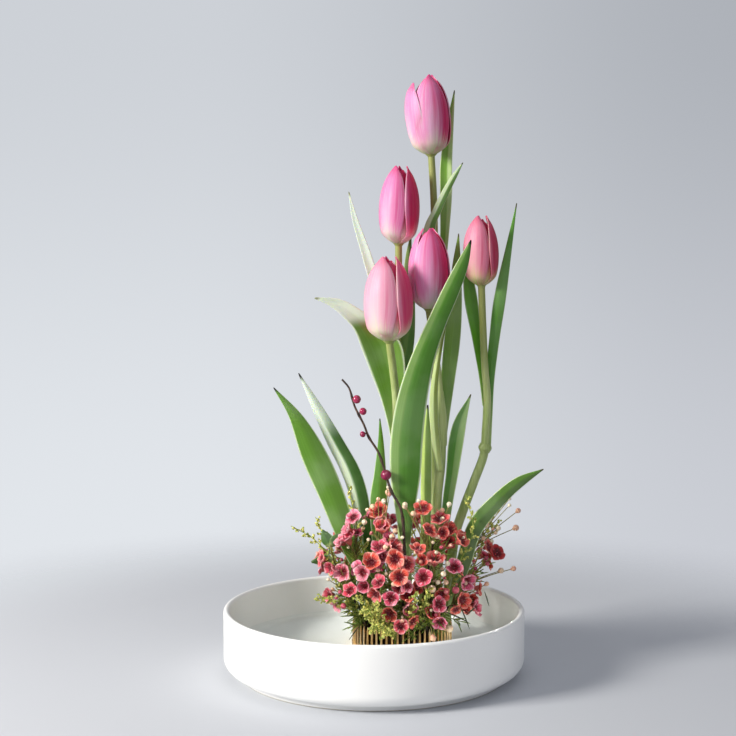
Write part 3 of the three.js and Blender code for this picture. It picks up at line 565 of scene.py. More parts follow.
# %% [markdown]
# ## The water
#
# The water is clear and still, and covers the floor of the bowl by a finger's breadth. It is one round
# body whose rim climbs the glaze by a hair, as water does. Light must reach the floor under it, so
# the shader lets lamps straight through and bends only what the eye sees.

# %% Water
WATER = {"level": 20, "radius": 105.45, "climb": 0.7, "gap": 0.3, "sides": 96}


def water_outline():
    """(radius, height) from under the middle, up the glaze, over the climbing rim and inwards."""
    inside = BOWL["radius"] - BOWL["wall"] - BOWL["inner_corner"] - WATER["gap"]
    low = BOWL["floor"] + WATER["gap"]
    level, radius, climb = WATER["level"], WATER["radius"], WATER["climb"]
    corner = arc((inside, low + BOWL["inner_corner"]), BOWL["inner_corner"], -90, 0, 8)
    return [(30, low), *corner, (radius, level + climb), (radius - 0.3, level + climb * 0.45),
            (radius - 0.9, level + 0.12), (radius - 2.2, level), (40, level)]


water = turned_form("still_water", water_outline(), WATER["sides"])
smooth(water, FIRM_EDGE)
clear = Finish("clear_water", Base_Color=ink("f4faf9"), Roughness=0.0, IOR=1.333)
clear.set(Transmission_Weight=1.0)
passing = clear.node("BsdfTransparent", {"Color": ink("f7fbfb")})
lamp_ray = clear.node("LightPath", {}).outputs["Is Shadow Ray"]
mixed = clear.node("MixShader", {0: lamp_ray, 1: clear.shader.outputs[0], 2: passing.outputs[0]})
clear.tree.links.new(mixed.outputs[0], clear.tree.nodes["Material Output"].inputs["Surface"])
open_side = Finish("water_against_glaze", Base_Color=ink("f7fbfb"), Alpha=0.02, Roughness=0.6)
water.data.materials.append(clear.material)
water.data.materials.append(open_side.material)
for face in water.data.polygons:
    face.material_index = 0 if face.center.z > (WATER["level"] - 0.1) * MM else 1
hand_over(water, "water", "water")

# %% [markdown]
# ## The pin holder
#
# A kenzan is a heavy cast base with hundreds of sharp brass pins set close together. The base is a
# cylinder with bevelled edges, and one pin is a thin cylinder whose top is drawn to a point. The pins
# stand in rings, one inside the other, and those under a thick stem are left out.

# %% Pin holder
HOLDER = {"x": 21, "y": 14, "radius": 37.5, "bottom": 10.3, "top": 18.7, "pin_top": 35.8,
          "pin": 0.85, "point": 3.2, "sharp": 0.16, "pitch": 4.05, "field": 36.1, "bevel": 0.7}


def holder_base():
    depth = HOLDER["top"] - HOLDER["bottom"]
    place = Vector((HOLDER["x"], HOLDER["y"], HOLDER["bottom"] + depth / 2)) * MM
    bpy.ops.mesh.primitive_cylinder_add(vertices=96, radius=HOLDER["radius"] * MM, depth=depth * MM,
                                        location=place)
    base = bpy.context.object
    bpy.ops.object.transform_apply(location=True)
    modify(base, "BEVEL", width=HOLDER["bevel"] * MM, segments=3, limit_method="ANGLE")
    return base


def brass_pin():
    low, high = HOLDER["top"] - 1, HOLDER["pin_top"]
    bpy.ops.mesh.primitive_cylinder_add(vertices=8, radius=HOLDER["pin"] * MM, depth=(high - low) * MM,
                                        location=(0, 0, (low + high) / 2 * MM))
    pin = bpy.context.object
    bpy.ops.object.transform_apply(location=True)
    bpy.ops.object.mode_set(mode="EDIT")
    bpy.ops.mesh.select_all(action="DESELECT")
    bpy.ops.object.mode_set(mode="OBJECT")
    for face in pin.data.polygons:
        face.select = face.normal.z > 0.9
    bpy.ops.object.mode_set(mode="EDIT")
    bpy.ops.transform.translate(value=(0, 0, -HOLDER["point"] * MM))
    bpy.ops.mesh.extrude_region_move(TRANSFORM_OT_translate={"value": (0, 0, HOLDER["point"] * MM)})
    bpy.ops.transform.resize(value=(HOLDER["sharp"], HOLDER["sharp"], 1))
    bpy.ops.object.mode_set(mode="OBJECT")
    return pin


def pin_places():
    """Rings of pins, one inside the other."""
    radius = HOLDER["field"]
    while radius > 0:
        count = max(int(math.tau * radius / HOLDER["pitch"]), 1)
        for k in range(count):
            angle = math.tau * k / count
            yield HOLDER["x"] + radius * math.cos(angle), HOLDER["y"] + radius * math.sin(angle)
        radius -= HOLDER["pitch"]

# %% [markdown]
# ## Where everything stands
#
# The tables give every stem, leaf and bloom in millimetres, the same as its solid. A stem is a list
# of points from its cut end, on the pin holder, to its bloom. A leaf is given by its left and right
# edges. `channel` arches its middle forwards, or backwards where it is negative, and `finish` names
# the tones of its face and its back. A `sheath` is a stretch of stem that the foot of a leaf wraps.
# `opened` says which tepal has begun to open, how far it leans out and swings round, and its length.

# %% Tulips
STAND = 19.3  # height of every cut end, just above the base of the pin holder
TULIPS = [
    {"name": "tulip_1",
     "stem": [[43, 24, STAND], [43, 24, 40], [44, 25, 123], [45, 27, 198], [45, 28, 272],
              [44, 27, 343], [42, 26, 377]],
     "radii": [3.4, 2.9, 2.5],
     "bloom": {"tip": [38.5, 24, 436], "radius": 15, "turn": 283,
               "opened": {"tepal": 4, "by": 7, "swing": 32, "share": 0.91}},
     "leaves": [{"left": [[42.6, 30, 255], [46, 34, 285], [49, 38, 312], [49, 40, 349], [49, 40, 372],
                          [54, 39, 404], [59, 38, 426]],
                 "right": [[47.4, 30, 255], [52, 33, 285], [55, 37, 312], [58, 39, 349],
                           [58, 39, 372], [59, 38, 404], [59.6, 38, 426]],
                 "channel": -0.1, "finish": ("behind", "back")},
                {"left": [[42.6, 26, 258], [36, 20.5, 285], [34, 18, 308], [37, 17, 327],
                          [42.5, 16, 338], [49, 15, 351], [57, 13, 364], [64, 12, 372]],
                 "right": [[47.5, 26, 258], [49, 21, 285], [47, 18.5, 308], [45, 17, 326],
                           [49.5, 16, 338], [55, 15, 351], [60.7, 13, 363], [64.5, 12, 372]],
                 "channel": 0.1, "finish": ("curled", "back")}]},
    {"name": "tulip_2",
     "stem": [[23, 30, STAND], [23, 30, 40], [20, 26, 123], [18, 24, 198], [17, 21, 257],
              [18, 19, 294], [18, 18, 312]],
     "radii": [3.3, 2.9, 2.6], "bloom": {"tip": [19.5, 16, 370], "radius": 14.4, "turn": 225},
     "leaves": [{"left": [[15, 22, 226], [8, 18, 250], [1, 14.5, 272], [-5, 13, 291], [-10, 11, 309],
                          [-16, 9, 331], [-18.5, 8, 351]],
                 "right": [[19.5, 21, 226], [15, 17.5, 250], [9, 14.5, 272], [3, 13, 291],
                           [-3, 11, 309], [-11.5, 9, 331], [-18, 8, 351]],
                 "channel": -0.08, "finish": ("pale", "beside")},
                {"left": [[17, 26, 160], [18, 24.5, 205], [19, 23.5, 242], [21, 25, 279],
                          [23, 27, 303], [27, 28, 320]],
                 "right": [[22, 27, 160], [24, 26.5, 205], [30, 26, 242], [30, 26.5, 279],
                           [28, 27.5, 303], [27.6, 28, 320]],
                 "channel": 0.12, "finish": ("inner", "back")}]},
    {"name": "tulip_3",
     "stem": [[25, 4, STAND], [25, 4, 40], [23, 3, 97], [19, 2, 118], [17, 0, 164], [16, -3, 201],
              [14, -7, 220], [11, -11.5, 243]],
     "radii": [3.6, 3.3, 2.7], "bloom": {"tip": [10, -13, 305], "radius": 17.2, "turn": 230},
     "leaves": [{"left": [[14, 1, 146], [12, 5, 172], [5, 7, 200], [-3, 8, 221], [-9.5, 8, 238],
                          [-15, 7, 252], [-22, 5, 260], [-32, 4, 268.5], [-43, 3, 274]],
                 "right": [[20.6, 1, 146], [20.5, 5.5, 178], [22, 7.5, 205], [23, 9.5, 225],
                           [19, 10.5, 243], [4, 9.5, 255], [-7, 6.5, 264], [-24, 4.5, 273.5],
                           [-43, 3, 275]],
                 "channel": -0.1, "finish": ("stained", "pale")}]},
    {"name": "tulip_4",
     "stem": [[46, 8, STAND], [46, 8, 40], [46, 7, 96], [46, 6, 126], [49, 5, 156], [49, 4, 186],
              [46, 4, 222], [42, 3.5, 251], [40, 3, 265]],
     "radii": [4, 4, 3.6, 2.8, 2.7], "bloom": {"tip": [39, 3, 325], "radius": 14.7, "turn": 285},
     "sheath": {"from": 0.6, "to": 0.76, "radii": [4.7, 4.2, 3.4]},
     "leaves": [{"left": [[45.5, 5.5, 172], [47, 8, 190], [48.5, 9, 214], [51, 9, 244], [54, 9, 273],
                          [57, 9, 300], [61, 8, 321]],
                 "right": [[53, 5, 172], [55.5, 7, 190], [59, 8, 214], [63, 9, 244], [64, 9, 273],
                           [63, 9, 300], [61.4, 8, 321]],
                 "channel": 0.1, "finish": ("upright", "back")},
                {"left": [[45, 3, 148], [42, 0, 170], [40, -2, 192], [41, -3, 212], [46, -3.5, 238],
                          [51.5, -4, 256]],
                 "right": [[50.5, 1.5, 148], [48, -1, 170], [46.5, -2.5, 192], [46.5, -3.5, 216],
                           [49.6, -4, 241], [52, -4, 256]],
                 "channel": 0.12, "finish": ("olive", "olive")},
                {"left": [[43, 4, 70], [47.5, 1, 100], [50, -1, 128], [52, -3, 146], [54, -5, 172],
                          [58, -6, 187], [69.5, -7, 205.5]],
                 "right": [[49.5, 6, 70], [54, 2.5, 100], [58, -1, 128], [61, -3.5, 146],
                           [65, -6, 172], [67, -7, 187], [70, -7, 206]],
                 "channel": -0.14, "finish": ("two_tone", "outer")}]},
    {"name": "tulip_5",
     "stem": [[54, 16, STAND], [54, 16, 36], [60, 14, 98], [66, 13, 118], [74, 12, 140],
              [81, 12, 160], [82, 11, 177], [83, 10, 200], [81, 9, 222], [79, 8, 258], [78, 8, 282]],
     "radii": [3.7, 3.6, 3.3, 2.7, 2.6], "bloom": {"tip": [77, 6, 334], "radius": 12.4, "turn": 235},
     "sheath": {"from": 0.545, "to": 0.57, "radii": [4.3, 5, 4.3]},
     "leaves": [{"left": [[79.5, 12, 165], [80, 13, 195], [82, 13.5, 220], [84, 12, 244],
                          [87, 11, 273], [95, 10.5, 309], [103, 10, 343]],
                 "right": [[86, 11, 165], [87, 11, 190], [88, 11, 212], [92, 11, 246],
                           [96, 10.5, 273], [100, 10.5, 309], [103.4, 10, 343]],
                 "channel": 0.08, "finish": ("outer", "back")},
                {"left": [[79.5, 10, 195], [77, 12.5, 215], [72, 15, 243], [66, 18, 273],
                          [66, 21, 291], [70, 22, 303]],
                 "right": [[83, 12, 195], [82, 13, 215], [79, 16, 243], [76, 19, 273],
                           [72.5, 21, 291], [70.5, 22, 303]],
                 "channel": -0.1, "finish": ("bright", "bright")}]},
]
print("tulips:", len(TULIPS))

# %% Leaves that stand by themselves
LEAVES = {
    "leaf_front": {
        "left": [[20.5, -8, STAND], [20, -11, 60], [19, -13, 100], [15.5, -14.5, 120],
                 [11.5, -16, 148], [11.5, -17.5, 174], [16, -19, 203], [25, -19, 231],
                 [38, -18.5, 260], [50, -17.5, 285], [61, -16.5, 305], [68.5, -16, 317]],
        "right": [[25.5, -8, STAND], [25.5, -11, 60], [26.5, -13, 100], [29, -14.5, 120],
                  [33.5, -15.5, 148], [35, -17, 174], [38, -18, 203], [43, -18.5, 231],
                  [51, -18, 256], [60.5, -17.5, 279], [67, -16.5, 299], [69, -16, 316]],
        "channel": 0.1, "finish": ("front", "back")},
    "leaf_far_left": {
        "left": [[1, 16, STAND], [-12, 11, 65], [-25, 13, 91], [-40, 15, 125], [-54, 16, 157],
                 [-63, 16, 187], [-74, 16, 208]],
        "right": [[7, 16, STAND], [-3, 12, 65], [-11, 13, 91], [-20, 15, 125], [-33, 16, 157],
                  [-52, 16, 187], [-73.6, 16, 208.5]],
        "channel": 0.08, "finish": ("far_left", "back")},
    "leaf_left": {
        "left": [[5, 27, STAND], [-6, 24, 64], [-13, 22, 94], [-18, 20, 126], [-25, 20, 146],
                 [-34, 22, 164], [-44, 23, 187], [-56, 24, 218]],
        "right": [[11, 27, STAND], [2, 25, 64], [-1, 22, 94], [-4, 20, 126], [-10, 21, 146],
                  [-20, 23, 164], [-36, 24, 190], [-55.6, 24, 218.4]],
        "channel": 0.16, "finish": ("beside", "back")},
    "leaf_slim": {
        "left": [[8, 4, STAND], [0, 6, 82], [-3, 7, 126], [0, 8, 146], [3, 9, 170], [4, 10, 186]],
        "right": [[13, 4, STAND], [8, 6, 82], [10, 7, 126], [9, 8, 146], [7, 9, 170], [4.6, 10, 186]],
        "channel": 0.12, "finish": ("slim", "back")},
    "leaf_short": {
        "left": [[32, -4, STAND], [33, -3, 70], [34, -1, 110], [34, 0, 142], [35, 1, 171],
                 [38.5, 2, 197]],
        "right": [[38, -4, STAND], [40, -3, 70], [41.5, -2, 110], [42, -1, 142], [41.5, 0, 171],
                  [39.5, 2, 197]],
        "channel": 0.12, "finish": ("short", "back")},
    "leaf_low_right": {
        "left": [[46, -1, STAND], [53, -2, 53], [60, -5, 84], [69, -10, 114], [86, -14, 134],
                 [102, -18, 147], [121, -20, 153.5]],
        "right": [[52, 1, STAND], [60, 0, 53], [70, -4, 78], [78, -10, 105], [98, -14, 131],
                  [110, -18, 143], [121.4, -20, 153]],
        "channel": 0.06, "finish": ("low_right", "back")},
}
print("single leaves:", len(LEAVES))

# %% Pin holder: fill it and finish the brass
STEM_ROOM = 3.6  # no pin stands nearer than this to the middle of a foot
# Painted shade: the pins of the outermost rings are painted near black, for the shade that lies among
# them.
PAINTED_SHADE_RING = (3.4, 1.6)  # the outermost pins darken between these distances from the field's edge
footprints = [t["stem"][0] for t in TULIPS] + [
    [(a + b) / 2 for a, b in zip(leaf["left"][0], leaf["right"][0])] for leaf in LEAVES.values()]
pins = brass_pin()
places = [(x, y) for x, y in pin_places()
          if all(math.hypot(x - f[0], y - f[1]) > STEM_ROOM for f in footprints)]
bed = [copy_to(pins, Matrix.Translation((x * MM, y * MM, 0))) for x, y in places]
put_away(pins)
kenzan = join("pin_holder", [holder_base(), *bed])
smooth(kenzan, 35)

brass = Finish("pin_brass", Metallic=1.0)
spot = brass.place()
worn = brass.noise(brass.place(scale=(1, 1, 0.25)), 160.0)
bright = brass.ramp(worn, [(0.3, "9a7440"), (0.5, "d2ac74"), (0.72, "f0dcb4")])
flat = brass.node("VectorMath", {0: spot, 1: (1, 1, 0)}, operation="MULTIPLY").outputs[0]
middle = (HOLDER["x"] * MM, HOLDER["y"] * MM, 0)
away = brass.node("VectorMath", {0: flat, 1: middle}, operation="DISTANCE").outputs["Value"]
painted_shade_on_outer_pins = brass.ease(away, *((HOLDER["field"] - inwards) * MM for inwards in PAINTED_SHADE_RING))
# painted shade: near black on the outermost pins, brass further in
brass.set(Base_Color=brass.mix(painted_shade_on_outer_pins, "2b1f12", bright))
brass.set(Roughness=brass.ease(worn, 0.3, 0.7, 0.45, 0.28))
kenzan.data.materials.append(brass.material)
hand_over(kenzan, "brass", "kenzan")
print("pins:", len(places))

# %% [markdown]
# ## Leaves
#
# A tulip leaf is a long blade with straight veins that run from foot to tip, a pale thin edge and a
# bluish bloom of wax. A flat grid is laid between the leaf's two edges, arched across, given its
# thickness with Solidify and rounded with Subdivision. The grid's own UV map goes with it, so the
# veins follow the leaf wherever it bends. The inside of the leaf and its back get their own finish.

# %% Leaf finishes
LEAF_WAX = "d2e0c0"  # the thin bluish bloom that lies in patches
# Painted light: the pale end is partly the thick wax and partly painted paler, so that an end turned
# away from the lamp still reads light.
PALE_END_WITH_PAINTED_LIGHT = "e6f6e2"  # the wax on a leaf's outer end, where it is thick
PALE_FOOT = "c2cf8e"
DRY_TIP = "15110c"
WILTED_TIP = "8a8f6a"


def leaf_finish(name, left, right, meet=0.5, wax=0.15, rim="d3e2b8", tip="4a4422", pale_from=1.2,
                stain=None):
    """Veined green. The left and right of its fold have their own tones, and `meet` is the fold.

    `wax` is how much of the bluish bloom lies on it. Beyond `pale_from`, a share of the leaf's
    length, the bloom is thick, and it is painted paler still as painted light. `stain` is the colour
    of a patch that has begun to wilt.
    """
    made = Finish(name, Specular_IOR_Level=0.3, Subsurface_Weight=0.3)
    made.set(Subsurface_Radius=(0.003, 0.004, 0.0007), Subsurface_Scale=0.5)
    across, length = made.along()
    stripes = made.noise(made.place("UV", (40, 0.7, 1)), 1.0, 4.0)
    broad = made.noise(made.place("UV", (5, 0.9, 1)), 1.0, 2.0)
    patches = made.noise(made.place("Object"), 30.0, 3.0)
    wander = made.calc("ADD", across, made.swing(broad, 0.25))
    # The two tones across the fold are partly the leaf's own green and wax and partly painted light and
    # shade. The half that catches the lamp is painted paler, and the half in shade is darker.
    colour = made.mix(made.ease(wander, meet - 0.08, meet + 0.08), left, right)
    dark = made.node("HueSaturation", {"Color": colour, "Value": 0.74, "Saturation": 1.1}).outputs[0]
    colour = made.mix(made.ease(stripes, 0.42, 0.68, 0.0, 0.5), colour, dark)
    if stain:
        reached, passed = made.ease(length, 0.5, 0.62), made.ease(length, 0.66, 0.74, 1.0, 0.0)
        spot = made.times(reached, passed)
        colour = made.mix(made.times(spot, made.ease(across, 0.2, 0.5)), colour, stain)
    waxy = made.times(made.ease(patches, 0.35, 0.68, 0.15, 1.0), wax)
    colour = made.mix(waxy, colour, LEAF_WAX)
    outer = made.ease(length, pale_from - 0.06, pale_from + 0.06, 0.0, 0.9)
    colour = made.mix(outer, colour, PALE_END_WITH_PAINTED_LIGHT)
    colour = made.mix(made.ease(length, 0.02, 0.3, 0.6, 0.0), colour, PALE_FOOT)
    colour = made.mix(made.ease(made.edge(across), 0.84, 0.96, 0.0, 0.85), colour, rim)
    colour = made.mix(made.ease(length, 0.965, 0.99), colour, tip)
    made.set(Base_Color=colour, Roughness=made.ease(patches, 0.3, 0.7, 0.4, 0.58))
    made.bump(stripes, 0.3, 0.0003)
    return made.material


# Partly painted light: each half's tone is set to how lit or shaded that half looks, not only to its own
# green, and the pale left halves most of all.
LEAF_TONES_WITH_PAINTED_LIGHT = {
    "front": {"left": "789c50", "right": "467a1c", "meet": 0.3, "wax": 0.1, "tip": DRY_TIP},
    "far_left": {"left": "5c8c24", "right": "5a8824", "tip": DRY_TIP},
    "beside": {"left": "dcebcf", "right": "3c6e1c", "meet": 0.4, "wax": 0.1, "rim": PALE_END_WITH_PAINTED_LIGHT,
               "tip": DRY_TIP, "pale_from": 0.8},
    "slim": {"left": "548c1e", "right": "5c861e", "tip": DRY_TIP},
    "short": {"left": "c8e07a", "right": "658426", "meet": 0.35, "tip": DRY_TIP},
    "low_right": {"left": "567f2a", "right": "4f7031"},
    "behind": {"left": "78a83c", "right": "b4d08c", "meet": 0.6},
    "curled": {"left": "c8dab2", "right": "5f8c36", "meet": 0.45},
    "pale": {"left": "c9dcc4", "right": "bcd2b6", "wax": 0.2, "rim": PALE_END_WITH_PAINTED_LIGHT, "tip": WILTED_TIP,
             "pale_from": 0.1},
    "inner": {"left": "7a9f54", "right": "5c8a3c"},
    "stained": {"left": "66962a", "right": "6f9a32", "rim": "dfebd2", "tip": WILTED_TIP,
                "pale_from": 0.68, "stain": "80762c"},
    "upright": {"left": "7fa54a", "right": "769a44"},
    "olive": {"left": "cbdc98", "right": "7d8c34", "tip": DRY_TIP},
    "two_tone": {"left": "47801e", "right": "729450", "rim": "b9cba0"},
    "outer": {"left": "5c9a30", "right": "5c9634"},
    "bright": {"left": "6ab01c", "right": "62a41c"},
    "back": {"left": "7a9c56", "right": "7f9f5c"},
}
LEAF_FINISHES = {name: leaf_finish("leaf_" + name, **tones) for name, tones in LEAF_TONES_WITH_PAINTED_LIGHT.items()}
print("leaf finishes:", ", ".join(LEAF_FINISHES))

# %% Leaf blades
LEAF_THICKNESS = 0.8
TIP_HALF_WIDTH = 0.35
EDGE_WAVE = 0.035  # how much the edges wave, as a share of half the width


def blade(name, leaf, rows=44, columns=8):
    """A leaf between its two edges, thick as the real one, with a face and a back."""
    left, right = Line(leaf["left"]), Line(leaf["right"])
    channel = leaf["channel"]

    def station(u):
        a, b = left.at(u), right.at(u)
        ahead, behind = min(u + 0.01, 1), max(u - 0.01, 0)
        grow = (left.at(ahead) + right.at(ahead) - left.at(behind) - right.at(behind)).normalized()
        span = b - a
        half = max(span.length / 2, TIP_HALF_WIDTH)
        spread = span.normalized() if u < 0.98 else station(0.97)[1]
        return (a + b) / 2, spread, half, spread.cross(grow).normalized()

    stations = [station(i / rows) for i in range(rows + 1)]

    def rule(s, u):
        row = round(u * rows)
        middle, spread, half, normal = stations[row]
        u = row / rows
        wave = EDGE_WAVE * half * math.sin(9 * u + 3 * s) * abs(s) * math.sin(math.pi * u)
        lift = channel * 2 * half * (1 - abs(s) ** 1.35) + wave
        return middle + spread * s * half + normal * lift

    tones = [LEAF_FINISHES[side] for side in leaf["finish"]]
    return sheet(name, columns, rows, rule, LEAF_THICKNESS, *tones)


for name, leaf in LEAVES.items():
    hand_over(blade("blade_of_" + name, leaf), "leaf", name)

# %% [markdown]
# ## Stems
#
# A tulip stem is a smooth juicy tube, pale green with a white bloom, and thicker where a leaf clasps
# it. It is a curve with a round bevel that is then turned into a mesh, because a curve takes a radius
# at every point. A sheath is a second, wider tube over a short stretch.

# %% Stems with their leaves
OLIVE_ABOVE = (0.2, 0.26)  # metres over the table between which the stems turn olive
SHEATH_FIT = (0.86, 1, 0.9)  # a sheath hugs its stem at both ends


def stem_finish():
    made = Finish("stem_green", Roughness=0.42, Subsurface_Weight=0.15)
    made.set(Subsurface_Radius=(0.003, 0.004, 0.001), Subsurface_Scale=0.5)
    fibres = made.noise(made.place(scale=(1, 1, 0.06)), 700.0, 3.0)
    cloud = made.noise(made.place(), 24.0, 2.0)
    colour = made.ramp(fibres, [(0.3, "97ac5c"), (0.7, "bccb8a")])
    colour = made.mix(made.ease(cloud, 0.4, 0.65, 0.0, 0.6), colour, "ccd294")
    height = made.node("SeparateXYZ", {"Vector": made.place()}).outputs["Z"]
    colour = made.mix(made.ease(height, *OLIVE_ABOVE, 0.0, 0.75), colour, "8f9448")
    made.set(Base_Color=colour)
    made.bump(fibres, 0.2, 0.0002)
    return made.material


STEM_GREEN = stem_finish()


def leafy_stem(tulip):
    line = Line(tulip["stem"])
    runs = [run_along(line, tulip["radii"], 60)]
    sheath = tulip.get("sheath")
    if sheath:
        radii = [r * s for r, s in zip(sheath["radii"], SHEATH_FIT)]
        runs.append(run_along(line, radii, 14, sheath["from"], sheath["to"]))
    parts = [tubes(tulip["name"] + "_stem", runs, 6, STEM_GREEN)]
    parts += [blade(f"{tulip['name']}_leaf_{k + 1}", leaf) for k, leaf in enumerate(tulip["leaves"])]
    return join(tulip["name"] + "_stem_and_leaves", parts)


for tulip in TULIPS:
    hand_over(leafy_stem(tulip), "stem", tulip["name"] + "_leafy_stem")

# %% [markdown]
# ## Closed tulips
#
# A tulip has six tepals: three outer and three inner, which all curve round the same egg-shaped room.
# Each one is a grid wrapped on that egg, wide at its belly and drawn in at the tip. The outer ones
# have a faint fold down the middle and edges that lift a little off their neighbours, which is what
# shows where one ends and the next begins.

# %% Tepal finishes
def tepal_finish(name, deep, mid, pale, base, green):
    """Pink in fine streaks, pale down the middle and at the edge, with a streaked cream foot."""
    made = Finish(name, Roughness=0.45, Specular_IOR_Level=0.35, Subsurface_Weight=0.35)
    made.set(Subsurface_Radius=(0.007, 0.002, 0.0035), Subsurface_Scale=0.8)
    across, length = made.along()
    streaks = made.noise(made.place("UV", (46, 0.8, 1)), 1.0, 4.0)
    broad = made.noise(made.place("UV", (7, 0.6, 1)), 1.0, 2.0)
    edge = made.edge(across)
    # The depth attribute holds each tepal's own tone and a painted shade that is deeper on the bloom's
    # side away from the key lamp. Where it is deep, the pale streaks and the flame are painted weaker,
    # so the shaded side reads deep pink.
    depth = made.ease(made.calc("ADD", broad, made.attribute("depth")), 0.25, 0.8)
    paleness_after_tone_and_painted_shade = made.calc("SUBTRACT", 1.0, made.times(depth, 0.85))
    colour = made.mix(depth, mid, deep)
    streak = made.times(paleness_after_tone_and_painted_shade, made.ease(streaks, 0.45, 0.75, 0.0, 0.5))
    colour = made.mix(streak, colour, pale)
    near_fold, low_down = made.ease(edge, 0.0, 0.6, 1.0, 0.0), made.ease(length, 0.2, 0.8, 0.75, 0.0)
    flame = made.times(near_fold, low_down)
    colour = made.mix(made.times(paleness_after_tone_and_painted_shade, flame), colour, pale)
    colour = made.mix(made.ease(length, 0.82, 1.0, 0.0, 0.5), colour, deep)
    rim = made.times(made.ease(edge, 0.86, 1.0), made.ease(length, 0.3, 0.6, 0.2, 0.7))
    colour = made.mix(rim, colour, pale)
    foot = made.calc("ADD", length, made.swing(streaks, 0.5))
    foot = made.calc("ADD", foot, made.times(edge, 0.1))
    colour = made.mix(made.ease(foot, 0.06, 0.36, 0.85, 0.0), colour, base)
    colour = made.mix(made.ease(foot, 0.0, 0.17, 0.9, 0.0), colour, green)
    made.set(Base_Color=colour)
    made.bump(streaks, 0.4, 0.0003)
    return made.material


PINKS = {  # tulip: deep, mid and pale pink, then the cream and the green of its foot
    "tulip_1": ("d4125c", "f48abb", "fcd0e2", "f4dfc0", "cfd884"),
    "tulip_2": ("cc0a50", "f07ab0", "fbc3db", "f5d9cf", "dbd9a0"),
    "tulip_3": ("e23a6c", "f69fb8", "fdd3d8", "f8dfc0", "d3d88a"),
    "tulip_4": ("dc1a62", "f685b8", "fdc6de", "f8d6dc", "e0dca8"),
    "tulip_5": ("bd2850", "ea839f", "f2b3b4", "dac486", "a6b45c"),
}
TEPAL_PINKS = {tulip: tepal_finish(tulip.replace("tulip", "tepals"), *codes)
               for tulip, codes in PINKS.items()}
print("pinks:", ", ".join(TEPAL_PINKS))

# %% Tepals
BLOOM_OUTLINE = [0.3, 0.8, 0.95, 1, 1, 0.95, 0.83, 0.62, 0.3]
TEPAL_HALF_WIDTH = [0.4, 0.72, 0.92, 1.04, 1.08, 1.02, 0.86, 0.56, 0.06]
TEPAL = {"thickness": 0.7, "layer_gap": 1.7, "inner_share": 0.95, "spread": 1.12, "overlap": 0.55,
         "fold": 0.3, "ripple": 0.16, "tip_swing": 0.8}
CLOSED = {"tepal": 0, "by": 0, "swing": 0, "share": 1}  # how a tepal stands that hasn't opened
TEPAL_ROWS = 30
TEPAL_COLUMNS = 14
DEPTH = {"inner": 0.12, "outer": -0.06, "opened": 0.3}  # how much deeper or paler a tepal's pink is
# painted shade: the pink is painted deeper on the side of each bloom away from the key lamp
PAINTED_SHADE_AWAY_FROM_LAMP = 0.5  # how much deeper the pink is on the side away from the light


def tepal(bloom, base, axis, height, k, pink):
    """One tepal: even k is an outer one, odd k an inner one. Each edge tucks under the next tepal."""
    inner = k % 2
    opened = bloom.get("opened", CLOSED)
    opened = opened if opened["tepal"] == k else CLOSED
    turn = math.radians(bloom["turn"] + 60 * k + opened["swing"])
    rise = height * (TEPAL["inner_share"] if inner else opened["share"])
    e1, e2 = sides_of(axis)
    radius = bloom["radius"]

    def reach(u, s):
        closed = radius * between(BLOOM_OUTLINE, u) * min(1, 0.35 + (u / 0.09) ** 0.5)
        tuck = TEPAL["overlap"] * s * min(1, 6 * u)
        leaning = opened["by"] * u * u * (1 + 0.9 * s * (1 - u))
        return closed - inner * TEPAL["layer_gap"] * min(1, 4 * u) + tuck + leaning

    def rule(s, u):
        away = max(reach(u, 0), 0.3 * radius)
        half_width = radius * max(between(TEPAL_HALF_WIDTH, u), 0.04)
        angle = turn - s * min(TEPAL["spread"], half_width / away)
        out = e1 * math.cos(angle) + e2 * math.sin(angle)
        belly = math.sin(math.pi * u)
        fold = -TEPAL["fold"] * belly * math.exp(-((s / 0.12) ** 2)) * (1 - inner)
        ripple = TEPAL["ripple"] * belly * math.sin(4 * s + 2 * k) * math.sin(6 * u + k)
        tip = TEPAL["tip_swing"] * max(u - 0.9, 0) / 0.1 * math.sin(k + 1)
        rounded = rise * (u - 0.02 * s * s * u)
        return base + axis * rounded + out * (reach(u, s) + fold + ripple + tip)

    ob = sheet(f"tepal_{k}", TEPAL_COLUMNS, TEPAL_ROWS, rule, TEPAL["thickness"], pink)
    own = DEPTH["inner" if inner else "outer"] - (DEPTH["opened"] if opened["by"] else 0)
    # Painted shade: each point's depth is its tepal's own tone plus a painted shade that deepens the
    # pink towards the bloom's right, away from the key lamp.
    tones_with_painted_shade = [own + PAINTED_SHADE_AWAY_FROM_LAMP * (point.co / MM - base).x / radius for point in ob.data.vertices]
    ob.data.attributes.new("depth", "FLOAT", "POINT").data.foreach_set("value", tones_with_painted_shade)
    return ob


print("a tepal is a grid of", TEPAL_COLUMNS, "by", TEPAL_ROWS)

# %% Blooms
FOOT_GAP = 0.9  # between the stem's end and the foot of the tepals
RECEPTACLE = ((0, 0.24), (0.9, 0.3), (2, 0.2))  # height over the foot, share of the bloom's radius
PISTIL = ((1, 1.7), (18, 1.5), (21, 2.2), (22, 1.6))  # height over the foot, radius


